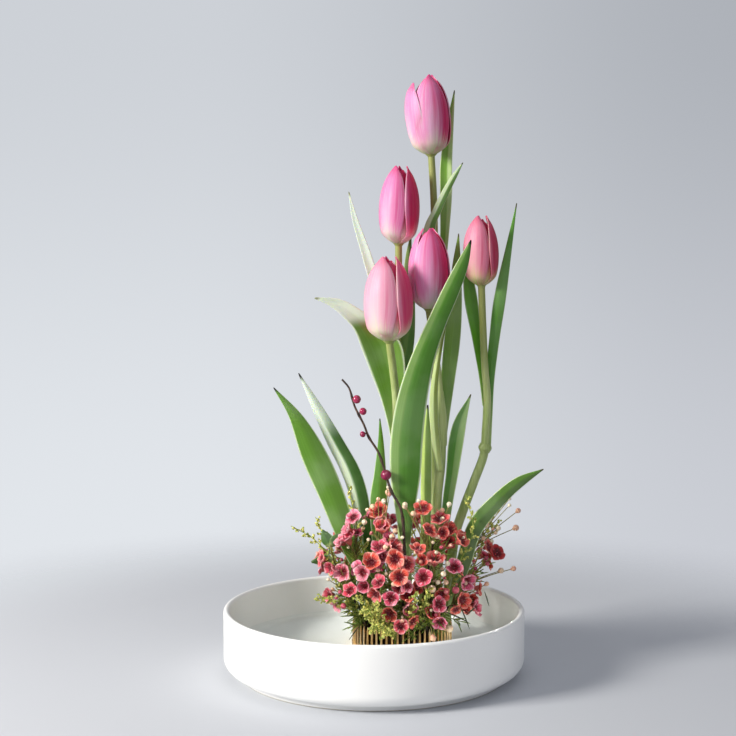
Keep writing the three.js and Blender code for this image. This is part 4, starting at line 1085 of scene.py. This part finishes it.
def bloom_of(tulip):
    bloom = tulip["bloom"]
    foot, tip = Vector(tulip["stem"][-1]), Vector(bloom["tip"])
    axis = (tip - foot).normalized()
    base = foot + axis * FOOT_GAP
    height = (tip - base).length
    tepals = [tepal(bloom, base, axis, height, k, TEPAL_PINKS[tulip["name"]]) for k in range(6)]
    radius = bloom["radius"]
    neck = [(base - axis * 1.2, tulip["radii"][-1])]
    neck += [(base + axis * up, share * radius) for up, share in RECEPTACLE]
    pistil = [(base + axis * up, thick) for up, thick in PISTIL]
    parts = [*tepals, tubes("core", [neck, pistil], 6, STEM_GREEN)]
    return join(tulip["name"] + "_flower", parts)


for tulip in TULIPS:
    hand_over(bloom_of(tulip), "tulip", tulip["name"] + "_bloom")

# %% [markdown]
# ## Buds, berries and the twigs that carry them
#
# The short sprays at the foot are waxflower: thin dark twigs with needle leaves, round buds and open
# five-petalled florets. Buds and berries are one small ball each, drawn out towards its stalk, which
# is modelled once. Their colour comes from a number written on each copy, so that no two need the
# same tone: 0 is cream, and 1 is deep magenta.

# %% Twig and bud finishes
def twig_finish(name, dark, light):
    made = Finish(name, Roughness=0.65)
    grain = made.noise(made.place(scale=(1, 1, 0.3)), 600.0, 4.0)
    made.set(Base_Color=made.ramp(grain, [(0.35, dark), (0.65, light)]))
    made.bump(grain, 0.5, 0.0003)
    return made.material


def bud_finish(name, codes, roughness):
    made = Finish(name, Roughness=roughness, Coat_Weight=0.2, Coat_Roughness=0.2)
    cloud = made.noise(made.place(), 420.0, 2.0)
    tone = made.calc("ADD", made.attribute("tint"), made.swing(cloud, 0.5))
    made.set(Base_Color=made.ramp(tone, list(zip((0.0, 0.35, 0.65, 1.0), codes))))
    return made.material


TWIG_BROWN = twig_finish("twig_brown", "2a1d18", "57402f")
STALK_OLIVE = twig_finish("stalk_olive", "6b5f30", "a09a52")
BUD_SKIN = bud_finish("bud_skin", ("efe4c6", "ecc09c", "c9566a", "7d1c3c"), 0.4)
BERRY_SKIN = bud_finish("berry_skin", ("b23a5e", "a3244e", "8a1844", "641132"), 0.22)
print("finishes:", ", ".join(made.name for made in (TWIG_BROWN, STALK_OLIVE, BUD_SKIN, BERRY_SKIN)))

# %% One bud and one berry
def ball_on_stalk(name, sides, rings, neck, material):
    """A unit ball in millimetres whose lower end is drawn out to the stalk."""
    bpy.ops.mesh.primitive_uv_sphere_add(segments=sides, ring_count=rings, radius=1)
    ob = bpy.context.object
    ob.name = name

    def rule(co):
        low = max(-co.z, 0)
        narrow = 1 - 0.45 * low ** 2
        seam = 1 + 0.05 * max(co.z, 0) * math.cos(5 * math.atan2(co.y, co.x))
        return Vector((co.x * narrow * seam, co.y * narrow * seam, co.z - neck * low ** 3)) * MM

    shape(ob, rule)
    ob.data.materials.append(material)
    smooth(ob)
    return ob


bud_model = ball_on_stalk("bud", 10, 8, 0.35, BUD_SKIN)
berry_model = ball_on_stalk("berry", 20, 14, 0.1, BERRY_SKIN)
print("bud:", len(bud_model.data.polygons), "faces, berry:", len(berry_model.data.polygons))

# %% Stalks
STALK_STEPS = 6


def stalk(start, end, sag, thick, thin):
    """Points and radii of a thin stalk that leaves its twig and bends towards its end."""
    middle = start.lerp(end, 0.5) + Vector((0, 0, sag))
    line = Line([start, middle, end])
    return [(line.at(i / STALK_STEPS), thick + (thin - thick) * i / STALK_STEPS)
            for i in range(STALK_STEPS + 1)]


def bud_at(model, start, centre, radius, tint):
    axis = (centre - start).normalized()
    return copy_to(model, stand(axis, centre, size=radius), tint=tint)


print("a stalk has", STALK_STEPS, "steps")

# %% [markdown]
# ## The berried twig
#
# One bare dark twig leans out to the left over the leaves, with a few glossy magenta berries on
# short stalks. Small swellings mark where leaves have dropped, and a dark dry point caps each berry.

# %% Berried twig
BERRY_TWIG = {
    "route": [[19, -15, STAND], [19, -16, 34], [21, -21, 60], [21.5, -22, 102], [19, -22.5, 125],
              [12, -21, 138], [7, -18, 154], [3, -17, 165], [-4, -16, 176], [-7, -16, 184],
              [-14, -15, 198], [-18, -14, 211], [-23, -14, 217]],
    "radii": [1.3, 1.1, 0.9, 0.7],
    "berries": [[-12.5, -17, 203, 3.1], [-8, -18.5, 194.5, 2.7], [-8, -18, 178, 2.2],
                [8.5, -21.5, 149, 4]],
    "steps": 80,
}
SWELLINGS = {"at": (0.2, 0.34, 0.47, 0.58, 0.69, 0.78, 0.86, 0.93), "length": 0.008, "growth": 0.5}


def swollen(share):
    """How many times thicker the twig is there."""
    near = max(math.exp(-((share - s) / SWELLINGS["length"]) ** 2) for s in SWELLINGS["at"])
    return 1 + SWELLINGS["growth"] * near


berry_line = Line(BERRY_TWIG["route"])
twig_run = run_along(berry_line, BERRY_TWIG["radii"], BERRY_TWIG["steps"])
twig_run = [(p, r * swollen(i / BERRY_TWIG["steps"])) for i, (p, r) in enumerate(twig_run)]
runs, berries = [twig_run], []
for k, (x, y, z, radius) in enumerate(BERRY_TWIG["berries"]):
    centre = Vector((x, y, z))
    start = berry_line.nearest(centre, 0.005)
    outward = (centre - start).normalized()
    end = centre - outward * 0.9 * radius
    runs.append(stalk(start, end, -0.2, 0.6, 0.4))
    berries.append(bud_at(berry_model, start, centre, radius, 0.2 + 0.18 * k))
    cap = centre + outward * radius
    runs.append([(cap.lerp(centre, 0.12), 0.55), (cap + (cap - centre) * 0.12, 0.25)])
twig = tubes("bare_twig", runs, 3, TWIG_BROWN)
hand_over(join("berried_branch", [twig, *berries]), "bark", "berry_twig")
put_away(berry_model)

# %% [markdown]
# ## Waxflower florets
#
# A waxflower has five round waxy petals on the rim of a small cup. The cup is deep crimson inside,
# with ten short stamens round its edge. One petal is a small grid, spooned and thickened, and no two
# petals curl quite alike. Five models are made, from wide open to half closed, and every copy gets
# its own turn, tilt, size and tone.

# %% Floret finishes
petal_skin = Finish("waxflower_petal", Roughness=0.42, Specular_IOR_Level=0.35, Subsurface_Weight=0.12)
petal_skin.set(Subsurface_Radius=(0.003, 0.001, 0.001), Subsurface_Scale=0.4)
across, length = petal_skin.along()
tint = petal_skin.attribute("tint")
vein = petal_skin.noise(petal_skin.place("UV", (9, 0.8, 1)), 1.0, 3.0)
PETAL_CODES = {  # pale pink, pink, coral and deep red, for the blade, its edge and its throat
    "body": ("e88c9c", "d83c6e", "dc4636", "b0161e"),
    "pale": ("fae0dc", "f6bccc", "f6bca8", "dc6a64"),
    "deep": ("a83c4c", "780b22", "800c0e", "580508"),
}
body, pale, deep = [petal_skin.ramp(tint, list(zip((0.0, 0.3, 0.65, 1.0), codes)))
                    for codes in PETAL_CODES.values()]
tone = petal_skin.mix(petal_skin.ease(length, 0.1, 0.55), deep, body)
tone = petal_skin.mix(petal_skin.ease(vein, 0.45, 0.75, 0.0, 0.4), tone, pale)
rim = petal_skin.calc("MAXIMUM", petal_skin.ease(length, 0.5, 1.0),
                      petal_skin.ease(petal_skin.edge(across), 0.5, 1.0))
cloud = petal_skin.noise(petal_skin.place(), 260.0, 2.0)
rim = petal_skin.times(rim, petal_skin.ease(cloud, 0.38, 0.62, 0.25, 0.8))
petal_skin.set(Base_Color=petal_skin.mix(rim, tone, pale))


def mottled(name, scale, dark, light, **sockets):
    """A finish that wanders between two tones."""
    made = Finish(name, **sockets)
    made.set(Base_Color=made.ramp(made.noise(made.place(), scale, 2.0), [(0.35, dark), (0.65, light)]))
    return made.material


CUP_SKIN = mottled("waxflower_cup", 300.0, "9c2f38", "c96a5c", Roughness=0.45)
THROAT_SKIN = mottled("waxflower_throat", 500.0, "5c0a16", "8c1626", Roughness=0.3, Coat_Weight=0.2)
STAMEN_SKIN = mottled("waxflower_stamen", 500.0, "7c1a30", "b9545c", Roughness=0.5)
print("petals run from", " to ".join(PETAL_CODES["body"]))

# %% Floret models
FLORET = {"radius": 8, "inner": 2.6, "throat": 2.8, "half_width": 3.75, "thickness": 0.35, "depth": 5}
CUP_OUTLINE = [(0.5, -5.2), (1.1, -4.6), (2.0, -3.3), (2.7, -1.6), (3.1, -0.3), (2.95, 0.15),
               (2.6, -0.1), (2.1, -1.5), (1.0, -2.1)]
PETALS = 5
STAMENS = 10
STAMEN = ((2.5, -0.4, 0.17), (2.1, 0.8, 0.26), (1.8, 1.1, 0.1))  # out, up, radius
STYLE = ((-2.2, 0.3), (0.2, 0.2), (0.6, 0.35))  # up, radius


def floret_petal(k, lift, curl, rand):
    """One petal, that rises by `lift` at its tip and whose sides rise by `curl`, in millimetres."""
    inner, outer = FLORET["inner"], FLORET["radius"] * rand.uniform(0.86, 1.08)
    angle = 2 * math.pi * k / PETALS + rand.uniform(-0.12, 0.12)
    lean = rand.uniform(0.1, 0.8)
    higher = lift * rand.uniform(0.6, 1.35)
    curl *= rand.uniform(0.3, 1.6)

    def rule(s, u):
        half = FLORET["half_width"] * math.sqrt(math.sin(math.pi * (0.1 + 0.8 * u)))
        out = inner + (outer - inner) * (u - 0.22 * s * s * u)
        rise = higher * u ** 1.4 + curl * (s * s - 0.3) * u + lean * s * u
        x, y = out - 0.28 * lift * u ** 2, s * half
        return Vector((x * math.cos(angle) - y * math.sin(angle),
                       x * math.sin(angle) + y * math.cos(angle), rise))

    return sheet("petal", 6, 6, rule, FLORET["thickness"], petal_skin.material, rounded=False)


def floret_model(name, lift, curl):
    cup = turned_form(name + "_cup", CUP_OUTLINE, 12)
    cup.data.materials.append(CUP_SKIN)
    cup.data.materials.append(THROAT_SKIN)
    for face in cup.data.polygons:
        inside = face.normal.z > 0.1 and face.center.xy.length < FLORET["throat"] * MM
        face.material_index = 1 if inside else 0
    smooth(cup, 60)
    threads = []
    for k in range(STAMENS):
        angle = k * math.tau / STAMENS
        out = Vector((math.cos(angle), math.sin(angle), 0))
        threads.append([(out * away + Vector((0, 0, up)), radius) for away, up, radius in STAMEN])
    threads.append([(Vector((0, 0, up)), radius) for up, radius in STYLE])
    stamens = tubes(name + "_stamens", threads, 0, STAMEN_SKIN)
    rand = random.Random(name)
    petals = [floret_petal(k, lift, curl, rand) for k in range(PETALS)]
    model = join(name, [cup, stamens, *petals])
    print(f"{name}: {len(model.data.polygons)} faces")
    return model


FLORETS = [floret_model(name, lift, curl) for name, lift, curl in (
    ("open_floret", 1.0, 0.7), ("wavy_floret", 1.9, -1.0), ("bent_floret", 2.6, 0.4),
    ("cupped_floret", 4.2, 1.0), ("closing_floret", 5.6, 0.8))]
FLORET_SHARES = (3, 3, 3, 2, 1)  # how often each kind is taken

# %% [markdown]
# ## Needle leaves
#
# Waxflower leaves are fleshy needles, set in pairs up the twig. A run of four points, thickest in its
# middle and pointed at its end, makes one, and hundreds of them in one curve become one mesh.

# %% Needle leaves
NEEDLE_GREEN = twig_finish("needle_green", "48601f", "97ac46")
NEEDLE_DARK = twig_finish("needle_dark", "181e12", "3a4724")
NEEDLE_FRESH = twig_finish("needle_fresh", "6f8c30", "b4c45c")


def needle(start, way, length, thick):
    """A run that droops a little and ends in a point."""
    droop = Vector((0, 0, -0.08 * length))
    return [(start, 0.5 * thick), (start + way * length * 0.5 + droop * 0.2, thick),
            (start + way * length * 0.85 + droop * 0.7, 0.7 * thick),
            (start + way * length + droop, 0.12)]


def needles_on(line, count, rand, length, start=0.25, end=1.0):
    """Needles in pairs up a line, each pair turned a quarter from the last."""
    runs = []
    for k in range(count):
        share = start + (end - start) * (k + rand.random() * 0.6) / count
        axis = line.way(share)
        e1, e2 = sides_of(axis)
        turn = k * math.pi / 2 + rand.uniform(-0.4, 0.4)
        for half_turn in (0, math.pi):
            out = e1 * math.cos(turn + half_turn) + e2 * math.sin(turn + half_turn)
            way = (out * rand.uniform(0.5, 0.9) + axis).normalized()
            runs.append(needle(line.even(share), way, length * rand.uniform(0.6, 1.15), 0.5))
    return runs


print("needle finishes:", NEEDLE_GREEN.name, NEEDLE_DARK.name, NEEDLE_FRESH.name)

# %% [markdown]
# ## Waxflower sprays
#
# Every spray is a twig from the pins to its fork, with a stalk to each floret and bud of the solids.
# The florets face away from the middle of the bunch. Each brings up to two smaller companions beside
# and behind it, because they grow in clusters. Leafy side shoots fill the room between the twigs, and
# four sprays on the right stay nearly bare, so that light falls in. What only repeats, such as needles
# and companions, is drawn by chance from a fixed seed, and what the eye singles out has a table.

# %% Sprays: where they stand
BUNCH_MIDDLE = Vector((24, 25, 60))  # the florets face away from this point
SPRAYS = [
    {"root": [-6, 0], "fork": [-20, -10, 62],
     "florets": [[-38, -7, 85], [-22, -16, 77], [-17, -25, 66], [-32, -6, 58], [-8, -29, 80]],
     "buds": []},
    {"root": [-7, 8], "fork": [-14, -4, 96], "florets": [[-15, -8, 116], [-19, -13, 101]],
     "buds": [[-8, -8, 108, 1.6]]},
    {"root": [3, -8], "fork": [4, -18, 100], "florets": [[4, -12, 121], [6, -21, 110], [4, -29, 98]],
     "buds": [[10, -12, 135, 2.2], [-1, -14, 125, 2], [13, -27, 106, 2]]},
    {"root": [11, -12], "fork": [12, -27, 78],
     "florets": [[-2, -36, 89], [15, -39, 92], [24, -33, 88], [18, -43, 80], [4, -39, 75]],
     "buds": []},
    {"root": [27, -14], "fork": [20, -30, 58],
     "florets": [[12, -40, 64], [24, -36, 66], [11, -34, 52], [19, -37, 43]], "buds": []},
    {"root": [33, -10], "fork": [43, -19, 102],
     "florets": [[35, -23, 125], [39, -30, 111], [47, -21, 117], [54, -16, 108], [62, -24, 102]],
     "buds": [[22, -25, 127, 2]]},
    {"root": [38, -10.5], "fork": [44, -26, 72],
     "florets": [[31, -38, 99], [35, -41, 79], [43, -35, 90], [57, -31, 84]],
     "buds": [[41, -37, 70, 2.9], [51, -34, 74, 2]]},
    {"root": [43, -9], "fork": [62, -22, 58],
     "florets": [[66, -24, 73], [76, -14, 65], [63, -28, 60], [73, -19, 52]],
     "buds": [[82, -8, 67, 1.8]]},
    {"root": [53.5, 4.5], "fork": [74, 0, 72], "florets": [[90, 2, 88]],
     "buds": [[93, 0, 75, 2.2], [102, -2, 77, 2]]},
    {"root": [51.5, 10], "fork": [76, 8, 100], "florets": [],
     "buds": [[90, 4, 124, 2.2], [84, 2, 113, 2.4], [91, 2, 106, 1.9], [104, 4, 106, 2.4],
              [80, 0, 99, 1.7], [106, 8, 118, 2]]},
    {"root": [32, -16], "fork": [43, -27, 46], "florets": [[46, -33, 58], [47, -31, 45]],
     "buds": [[54, -28, 39, 2.8], [42, -35, 34, 2.4]]},
    {"root": [34, 38], "fork": [40, 50, 82],
     "florets": [[36, 54, 104], [52, 48, 96], [44, 62, 84], [56, 52, 74]],
     "buds": [[46, 50, 113, 2.2]]},
    {"root": [13, 42], "fork": [10, 52, 78],
     "florets": [[12, 52, 102], [-2, 52, 92], [8, 64, 82], [18, 62, 66]], "buds": [[4, 48, 110, 2.2]]},
    {"root": [-7, 26], "fork": [-22, 38, 70],
     "florets": [[-26, 38, 92], [-38, 34, 78], [-16, 50, 72]], "buds": [[-38, 30, 92, 2]]},
    {"root": [51, 29], "fork": [70, 34, 66], "florets": [[72, 36, 86], [86, 28, 76], [74, 44, 60]],
     "buds": [[88, 32, 90, 2.2]]},
]
print("sprays:", len(SPRAYS), "with", sum(len(s["florets"]) for s in SPRAYS), "florets")

# %% Sprays: buds, tones and stray leaves
MORE_BUDS = {  # spray: x, y, z, radius and tint of the buds between its florets
    1: [(-25, -18, 82, 1.4, 0.7), (-7, -28, 73, 1.6, 0.8), (-33, -16, 72, 1.3, 0),
        (-22, -22, 54, 2.3, 0.75)],
    2: [(-7, -16, 114, 2.1, 0.1), (-4, -20, 102, 1.4, 0.1), (-5, -16, 123, 1.4, 0.2)],
    3: [(10, -20, 140, 1.4, 0), (11, -20, 135, 1.6, 0.5), (3, -18, 131, 1.6, 0.4),
        (7, -20, 130, 1.9, 0), (12, -28, 106, 1.4, 0), (8, -32, 99, 1.9, 0.25),
        (15, -28, 110, 1.9, 0.3), (20, -27, 105, 1.4, 0)],
    6: [(22, -28, 129, 1.9, 0.1), (32, -24, 131, 1.4, 0.1), (28, -26, 122, 2.1, 0.3),
        (54, -16, 127, 1.9, 0), (49, -18, 123, 1.8, 0.4), (48, -18, 121, 1.3, 0.6),
        (49, -20, 117, 1.9, 0), (64, -22, 104, 1.2, 0)],
    7: [(44, -36, 96, 1.4, 0), (52, -36, 88, 1.9, 0), (49, -38, 81, 2.1, 0.1),
        (45, -38, 75, 1.7, 0.1), (51, -36, 68, 1.8, 0.6)],
    8: [(58, -32, 68, 2.8, 0.65), (73, -20, 81, 1.4, 1)],
    10: [(99, 2, 128, 1.4, 0), (99, 2, 123, 1.4, 0), (82, 0, 109, 2.3, 0.3), (87, 0, 106, 1.1, 0.5),
         (89, 0, 103, 1.4, 0.2), (76, 2, 112, 1.4, 0.85), (71, 2, 112, 1.1, 1)],
}
BARE_SPRAYS = {8, 9, 10, 15}  # these carry few needles, so that light falls in between them
PETAL_TONES = {  # spray: its petals' range, from pale pink at 0 over pink and coral to deep red at 1
    1: (0.05, 0.6), 2: (0, 0.45), 3: (0.1, 0.7), 4: (0.1, 0.8), 5: (0.2, 0.85), 6: (0.55, 1),
    7: (0.1, 0.9), 8: (0.2, 0.85), 9: (0.4, 1), 10: (0.5, 0.95),
}
STRAY_LEAVES = {  # spray: both ends of the long dark leaves that stick out low down
    4: [((-10, -30, 42), (-18, -37, 34))],
    8: [((51, -31, 52), (67, -36, 47)), ((61, -31, 57), (68, -36, 42)), ((66, -32, 50), (72, -35, 57)),
        ((79, -28, 66), (82, -32, 57))],
}
print("more buds:", sum(len(buds) for buds in MORE_BUDS.values()))

# %% Sprays: how they grow
LEAFY = {"pairs": 12, "from": 0.25, "shoots": 7}  # pairs of needles, from this share of the twig on
BARE = {"pairs": 5, "from": 0.6, "shoots": 2}
SHOOTS_FROM, SHOOTS_SPAN = 0.32, 0.5  # the stretch of the twig that carries the side shoots
MAIN_SIZE, COMPANION_SIZE = (0.82, 1.06), (0.7, 0.9)
COMPANIONS = {0: 2, 1: 5, 2: 2}  # how many a floret brings, and how often
EXTRA_BUDS = 2  # beside each floret of the solids
USUAL_TONES = (0.1, 0.9)


def twig_line(root, fork):
    foot, end = Vector((*root, STAND)), Vector(fork)
    collar = Vector((*root, 33))
    return Line([foot, collar, collar.lerp(end, 0.45) + Vector((0, 0, 5)), end])


def any_way(rand, reach):
    return Vector([rand.uniform(-reach, reach) for _ in range(3)])


class Spray:
    """Gathers the wood, stalks, needles, florets and buds of one spray."""

    def __init__(self, data, number):
        self.rand = random.Random(499 + number)
        self.name = f"waxflower_{number}"
        self.line = twig_line(data["root"], data["fork"])
        habit = BARE if number in BARE_SPRAYS else LEAFY
        self.green = needles_on(self.line, habit["pairs"], self.rand, 12, habit["from"])
        self.stalks, self.parts = [], []
        self.tones = PETAL_TONES.get(number, USUAL_TONES)
        for k in range(habit["shoots"]):
            self.side_shoot(SHOOTS_FROM + SHOOTS_SPAN * k / habit["shoots"])
        for place in data["florets"]:
            self.cluster(Vector(place))
        tinted = [(*bud, self.rand.random() * 0.45) for bud in data["buds"]]
        for x, y, z, radius, tint in tinted + MORE_BUDS.get(number, []):
            self.bud(self.line.nearest(Vector((x, y, z)), 0.15), Vector((x, y, z)), radius, tint)
        self.strays = []
        for start, end in STRAY_LEAVES.get(number, []):
            way = Vector(end) - Vector(start)
            self.strays.append(needle(Vector(start), way.normalized(), way.length, 0.6))

    def side_shoot(self, share):
        """A short leafy shoot from the twig."""
        start, rand = self.line.even(share), self.rand
        outward = (start - BUNCH_MIDDLE) * Vector((0.02, 0.02, 0))
        way = (any_way(rand, 1) + outward + Vector((0, 0, 0.5))).normalized()
        end = start + way * rand.uniform(9, 16)
        shoot = Line([start, start.lerp(end, 0.5) + Vector((0, 0, 1)), end])
        self.stalks.append(run_along(shoot, [0.45, 0.3], 4))
        self.green += needles_on(shoot, 5, rand, 9, 0.2)

    def floret(self, start, centre, facing, size):
        rand = self.rand
        facing = (facing + any_way(rand, 0.5)).normalized()
        cup_foot = centre - facing * FLORET["depth"]
        self.stalks.append(stalk(start, cup_foot, 1.5, 0.5, 0.4))
        model = rand.choices(FLORETS, FLORET_SHARES)[0]
        matrix = stand(facing, centre, rand.uniform(0, 6), size)
        self.parts.append(copy_to(model, matrix, tint=rand.uniform(*self.tones)))

    def bud(self, start, centre, radius, tint):
        self.stalks.append(stalk(start, centre, 0.8, 0.42, 0.3))
        self.parts.append(bud_at(bud_model, start, centre, radius, tint))

    def cluster(self, centre):
        """The floret of the solids, its companions and a few small buds."""
        rand = self.rand
        facing = (centre - BUNCH_MIDDLE).normalized()
        start = self.line.nearest(centre - facing * FLORET["depth"], 0.18)
        self.floret(start, centre, facing, rand.uniform(*MAIN_SIZE))
        e1, e2 = sides_of(facing)
        turn = rand.uniform(0, 6)
        for _ in range(rand.choices(list(COMPANIONS), COMPANIONS.values())[0]):
            turn += rand.uniform(1.6, 2.6)
            beside = (e1 * math.cos(turn) + e2 * math.sin(turn)) * rand.uniform(7, 9.5)
            place = centre + beside - facing * rand.uniform(3, 6)
            self.floret(start, place, facing + beside * 0.06, rand.uniform(*COMPANION_SIZE))
        cup_foot = centre - facing * FLORET["depth"]
        side = Line([start, start.lerp(centre, 0.5) + Vector((0, 0, 1.5)), cup_foot])
        self.green += needles_on(side, 4, rand, 10, 0.1, 0.7)
        for _ in range(EXTRA_BUDS):
            begin = side.even(rand.uniform(0.35, 0.75))
            way = (any_way(rand, 1) + facing * 0.8 + Vector((0, 0, 0.5))).normalized()
            self.bud(begin, begin + way * rand.uniform(6, 10), rand.uniform(1, 1.7), rand.random() * 0.8)

    def finished(self):
        made = [("wood", [run_along(self.line, [1.2, 1.0, 0.7], 24)], 2, TWIG_BROWN),
                ("stalks", self.stalks, 1, STALK_OLIVE), ("needles", self.green, 0, NEEDLE_GREEN),
                ("strays", self.strays, 0, NEEDLE_DARK)]
        green_and_wood = [tubes(f"{self.name}_{kind}", runs, roundness, skin)
                          for kind, runs, roundness, skin in made if runs]
        return join(self.name, [*self.parts, *green_and_wood])


for number, data in enumerate(SPRAYS, 1):
    hand_over(Spray(data, number).finished(), "waxflower", f"waxflower_spray_{number}")
for model in FLORETS:
    put_away(model)

# %% [markdown]
# ## Goldenrod sprigs
#
# Between the flowers stand feathery yellow-green sprigs. Each has a thin stem whose upper half carries
# short side twigs, and every side twig is beaded with tiny round buds. A few sprigs send up further
# plumes from the same root.

# %% Goldenrod: where it stands, and one bead
SPRIGS = [
    {"root": [-10, 4], "path": [[-24, 6, 72], [-44, 6, 97], [-61, 6, 107]]},
    {"root": [-9, 18], "path": [[-20, 17, 60], [-36, 12, 96], [-43, 9, 113]]},
    {"root": [0, 2], "path": [[-6, 0, 80], [-14, 1, 116], [-19, 2, 139]]},
    {"root": [5, -12], "path": [[1, -26, 50], [-5, -36, 58], [-13, -41, 66]]},
    {"root": [15, -16], "path": [[9, -27, 42], [3, -38, 44], [-4, -44, 40]]},
    {"root": [48, -6], "path": [[60, -15, 80], [71, -17, 108], [66, -14, 134]]},
    {"root": [49, 22], "path": [[62, 24, 66], [82, 18, 98], [98, 13, 136]]},
    {"root": [25, 44], "path": [[27, 62, 58], [30, 74, 84], [30, 80, 104]]},
]
GOLD_SKIN = bud_finish("goldenrod_bud", ("8fa23f", "b5bf5a", "d8d77a", "e6da6a"), 0.55)
bpy.ops.mesh.primitive_ico_sphere_add(subdivisions=1, radius=MM)
gold_model = bpy.context.object
gold_model.data.materials.append(GOLD_SKIN)
smooth(gold_model)
print("goldenrod sprigs:", len(SPRIGS))

# %% Goldenrod: how it grows
PLUME = {  # how many side twigs, and beads on each, the stretch of stem with twigs, and their length
    "twigs": 22, "beads": 8, "from": 0.34, "span": 0.65, "reach": 8, "taper": 5,
}
BY_THE_SAME_ROOT = {  # sprig: the paths of its further plumes
    1: [[[-22, 0, 60], [-33, -6, 78], [-36, -8, 86]], [[-16, -6, 48], [-32, -18, 58], [-43, -24, 60]]],
    4: [[[3, -24, 40], [-3, -36, 50], [-9, -42, 56]], [[6, -26, 45], [4, -38, 53], [1, -43, 62]]],
    5: [[[12, -28, 38], [9, -38, 40], [6, -43, 37]], [[22, -27, 42], [27, -36, 56], [29, -41, 68]],
        [[30, -22, 44], [36, -34, 58], [39, -41, 72]]],
    7: [[[64, 20, 70], [84, 12, 96], [92, 6, 112]]],
}


def grow_plume(line, rand, runs, parts):
    """Adds one plume: its stem and twigs to the runs, and its beads to the parts."""
    runs.append(run_along(line, [0.75, 0.6, 0.45, 0.3], 30))
    for k in range(PLUME["twigs"]):
        share = PLUME["from"] + PLUME["span"] * k / PLUME["twigs"]
        axis = line.way(share)
        e1, e2 = sides_of(axis)
        turn = 2.4 * k + rand.uniform(-0.3, 0.3)
        out = e1 * math.cos(turn) + e2 * math.sin(turn)
        reach = (PLUME["reach"] - PLUME["taper"] * k / PLUME["twigs"]) * rand.uniform(0.8, 1.2)
        start = line.even(share)
        end = start + (out * 0.8 + axis * 0.9).normalized() * reach
        runs.append(stalk(start, end, 0.3, 0.3, 0.2))
        for j in range(PLUME["beads"]):
            spot = start.lerp(end, 0.3 + 0.7 * j / (PLUME["beads"] - 1)) + any_way(rand, 0.9)
            matrix = stand(axis, spot, size=rand.uniform(0.55, 0.95))
            parts.append(copy_to(gold_model, matrix, tint=rand.random()))
    runs += needles_on(line, 10, rand, 6, 0.1, 0.7)


def sprig(data, number):
    name = f"goldenrod_{number}"
    rand = random.Random(899 + number)
    x, y = data["root"]
    runs, parts = [], []
    for path in (data["path"], *BY_THE_SAME_ROOT.get(number, [])):
        grow_plume(Line([(x, y, STAND), (x, y, 30), *path]), rand, runs, parts)
    parts.append(tubes(name + "_green", runs, 0, NEEDLE_FRESH))
    return join(name, parts)


for number, data in enumerate(SPRIGS, 1):
    hand_over(sprig(data, number), "goldenrod", f"goldenrod_sprig_{number}")
put_away(gold_model)
put_away(bud_model)

# %% [markdown]
# ## The sprig with round leaves
#
# Low on the left a short sprig shows three round dark leaves. Each is a grid again, cut to a round
# outline by the rule that places its points, and cupped a little.

# %% Round leaves
ROUND_LEAF_SPRIG = {
    "path": [[-11, 10, STAND], [-12, 9, 34], [-22, 5, 62], [-30, 3, 84], [-32, 2, 94]],
    "leaves": [[-38, 5, 104], [-22, 2, 103], [-46, 5, 80]],
    "half_width": 4.2,
}
ROUND_GREEN = leaf_finish("leaf_round", "2f5320", "41682a", rim="6f8f55")


def round_leaf(line, place):
    tip = Vector(place)
    start = line.nearest(tip, 0.02)
    way = tip - start
    spread = way.cross(Vector((0, 1, 0.4))).normalized()
    normal = spread.cross(way).normalized()

    def rule(s, u):
        half = 0.5 + ROUND_LEAF_SPRIG["half_width"] * math.sin(math.pi * min(0.97, max(u, 1e-6) ** 0.8))
        cup = 0.9 * s * s - 0.5 * math.sin(math.pi * u)
        return start + way * u + spread * s * half + normal * cup

    return sheet("round_leaf", 8, 14, rule, 0.5, ROUND_GREEN)


round_line = Line(ROUND_LEAF_SPRIG["path"])
parts = [round_leaf(round_line, place) for place in ROUND_LEAF_SPRIG["leaves"]]
parts.append(tubes("round_leaf_stem", [run_along(round_line, [1, 0.8, 0.5], 20)], 3, STALK_OLIVE))
hand_over(join("round_leaves", parts), "round_leaf", "round_leaf_sprig")
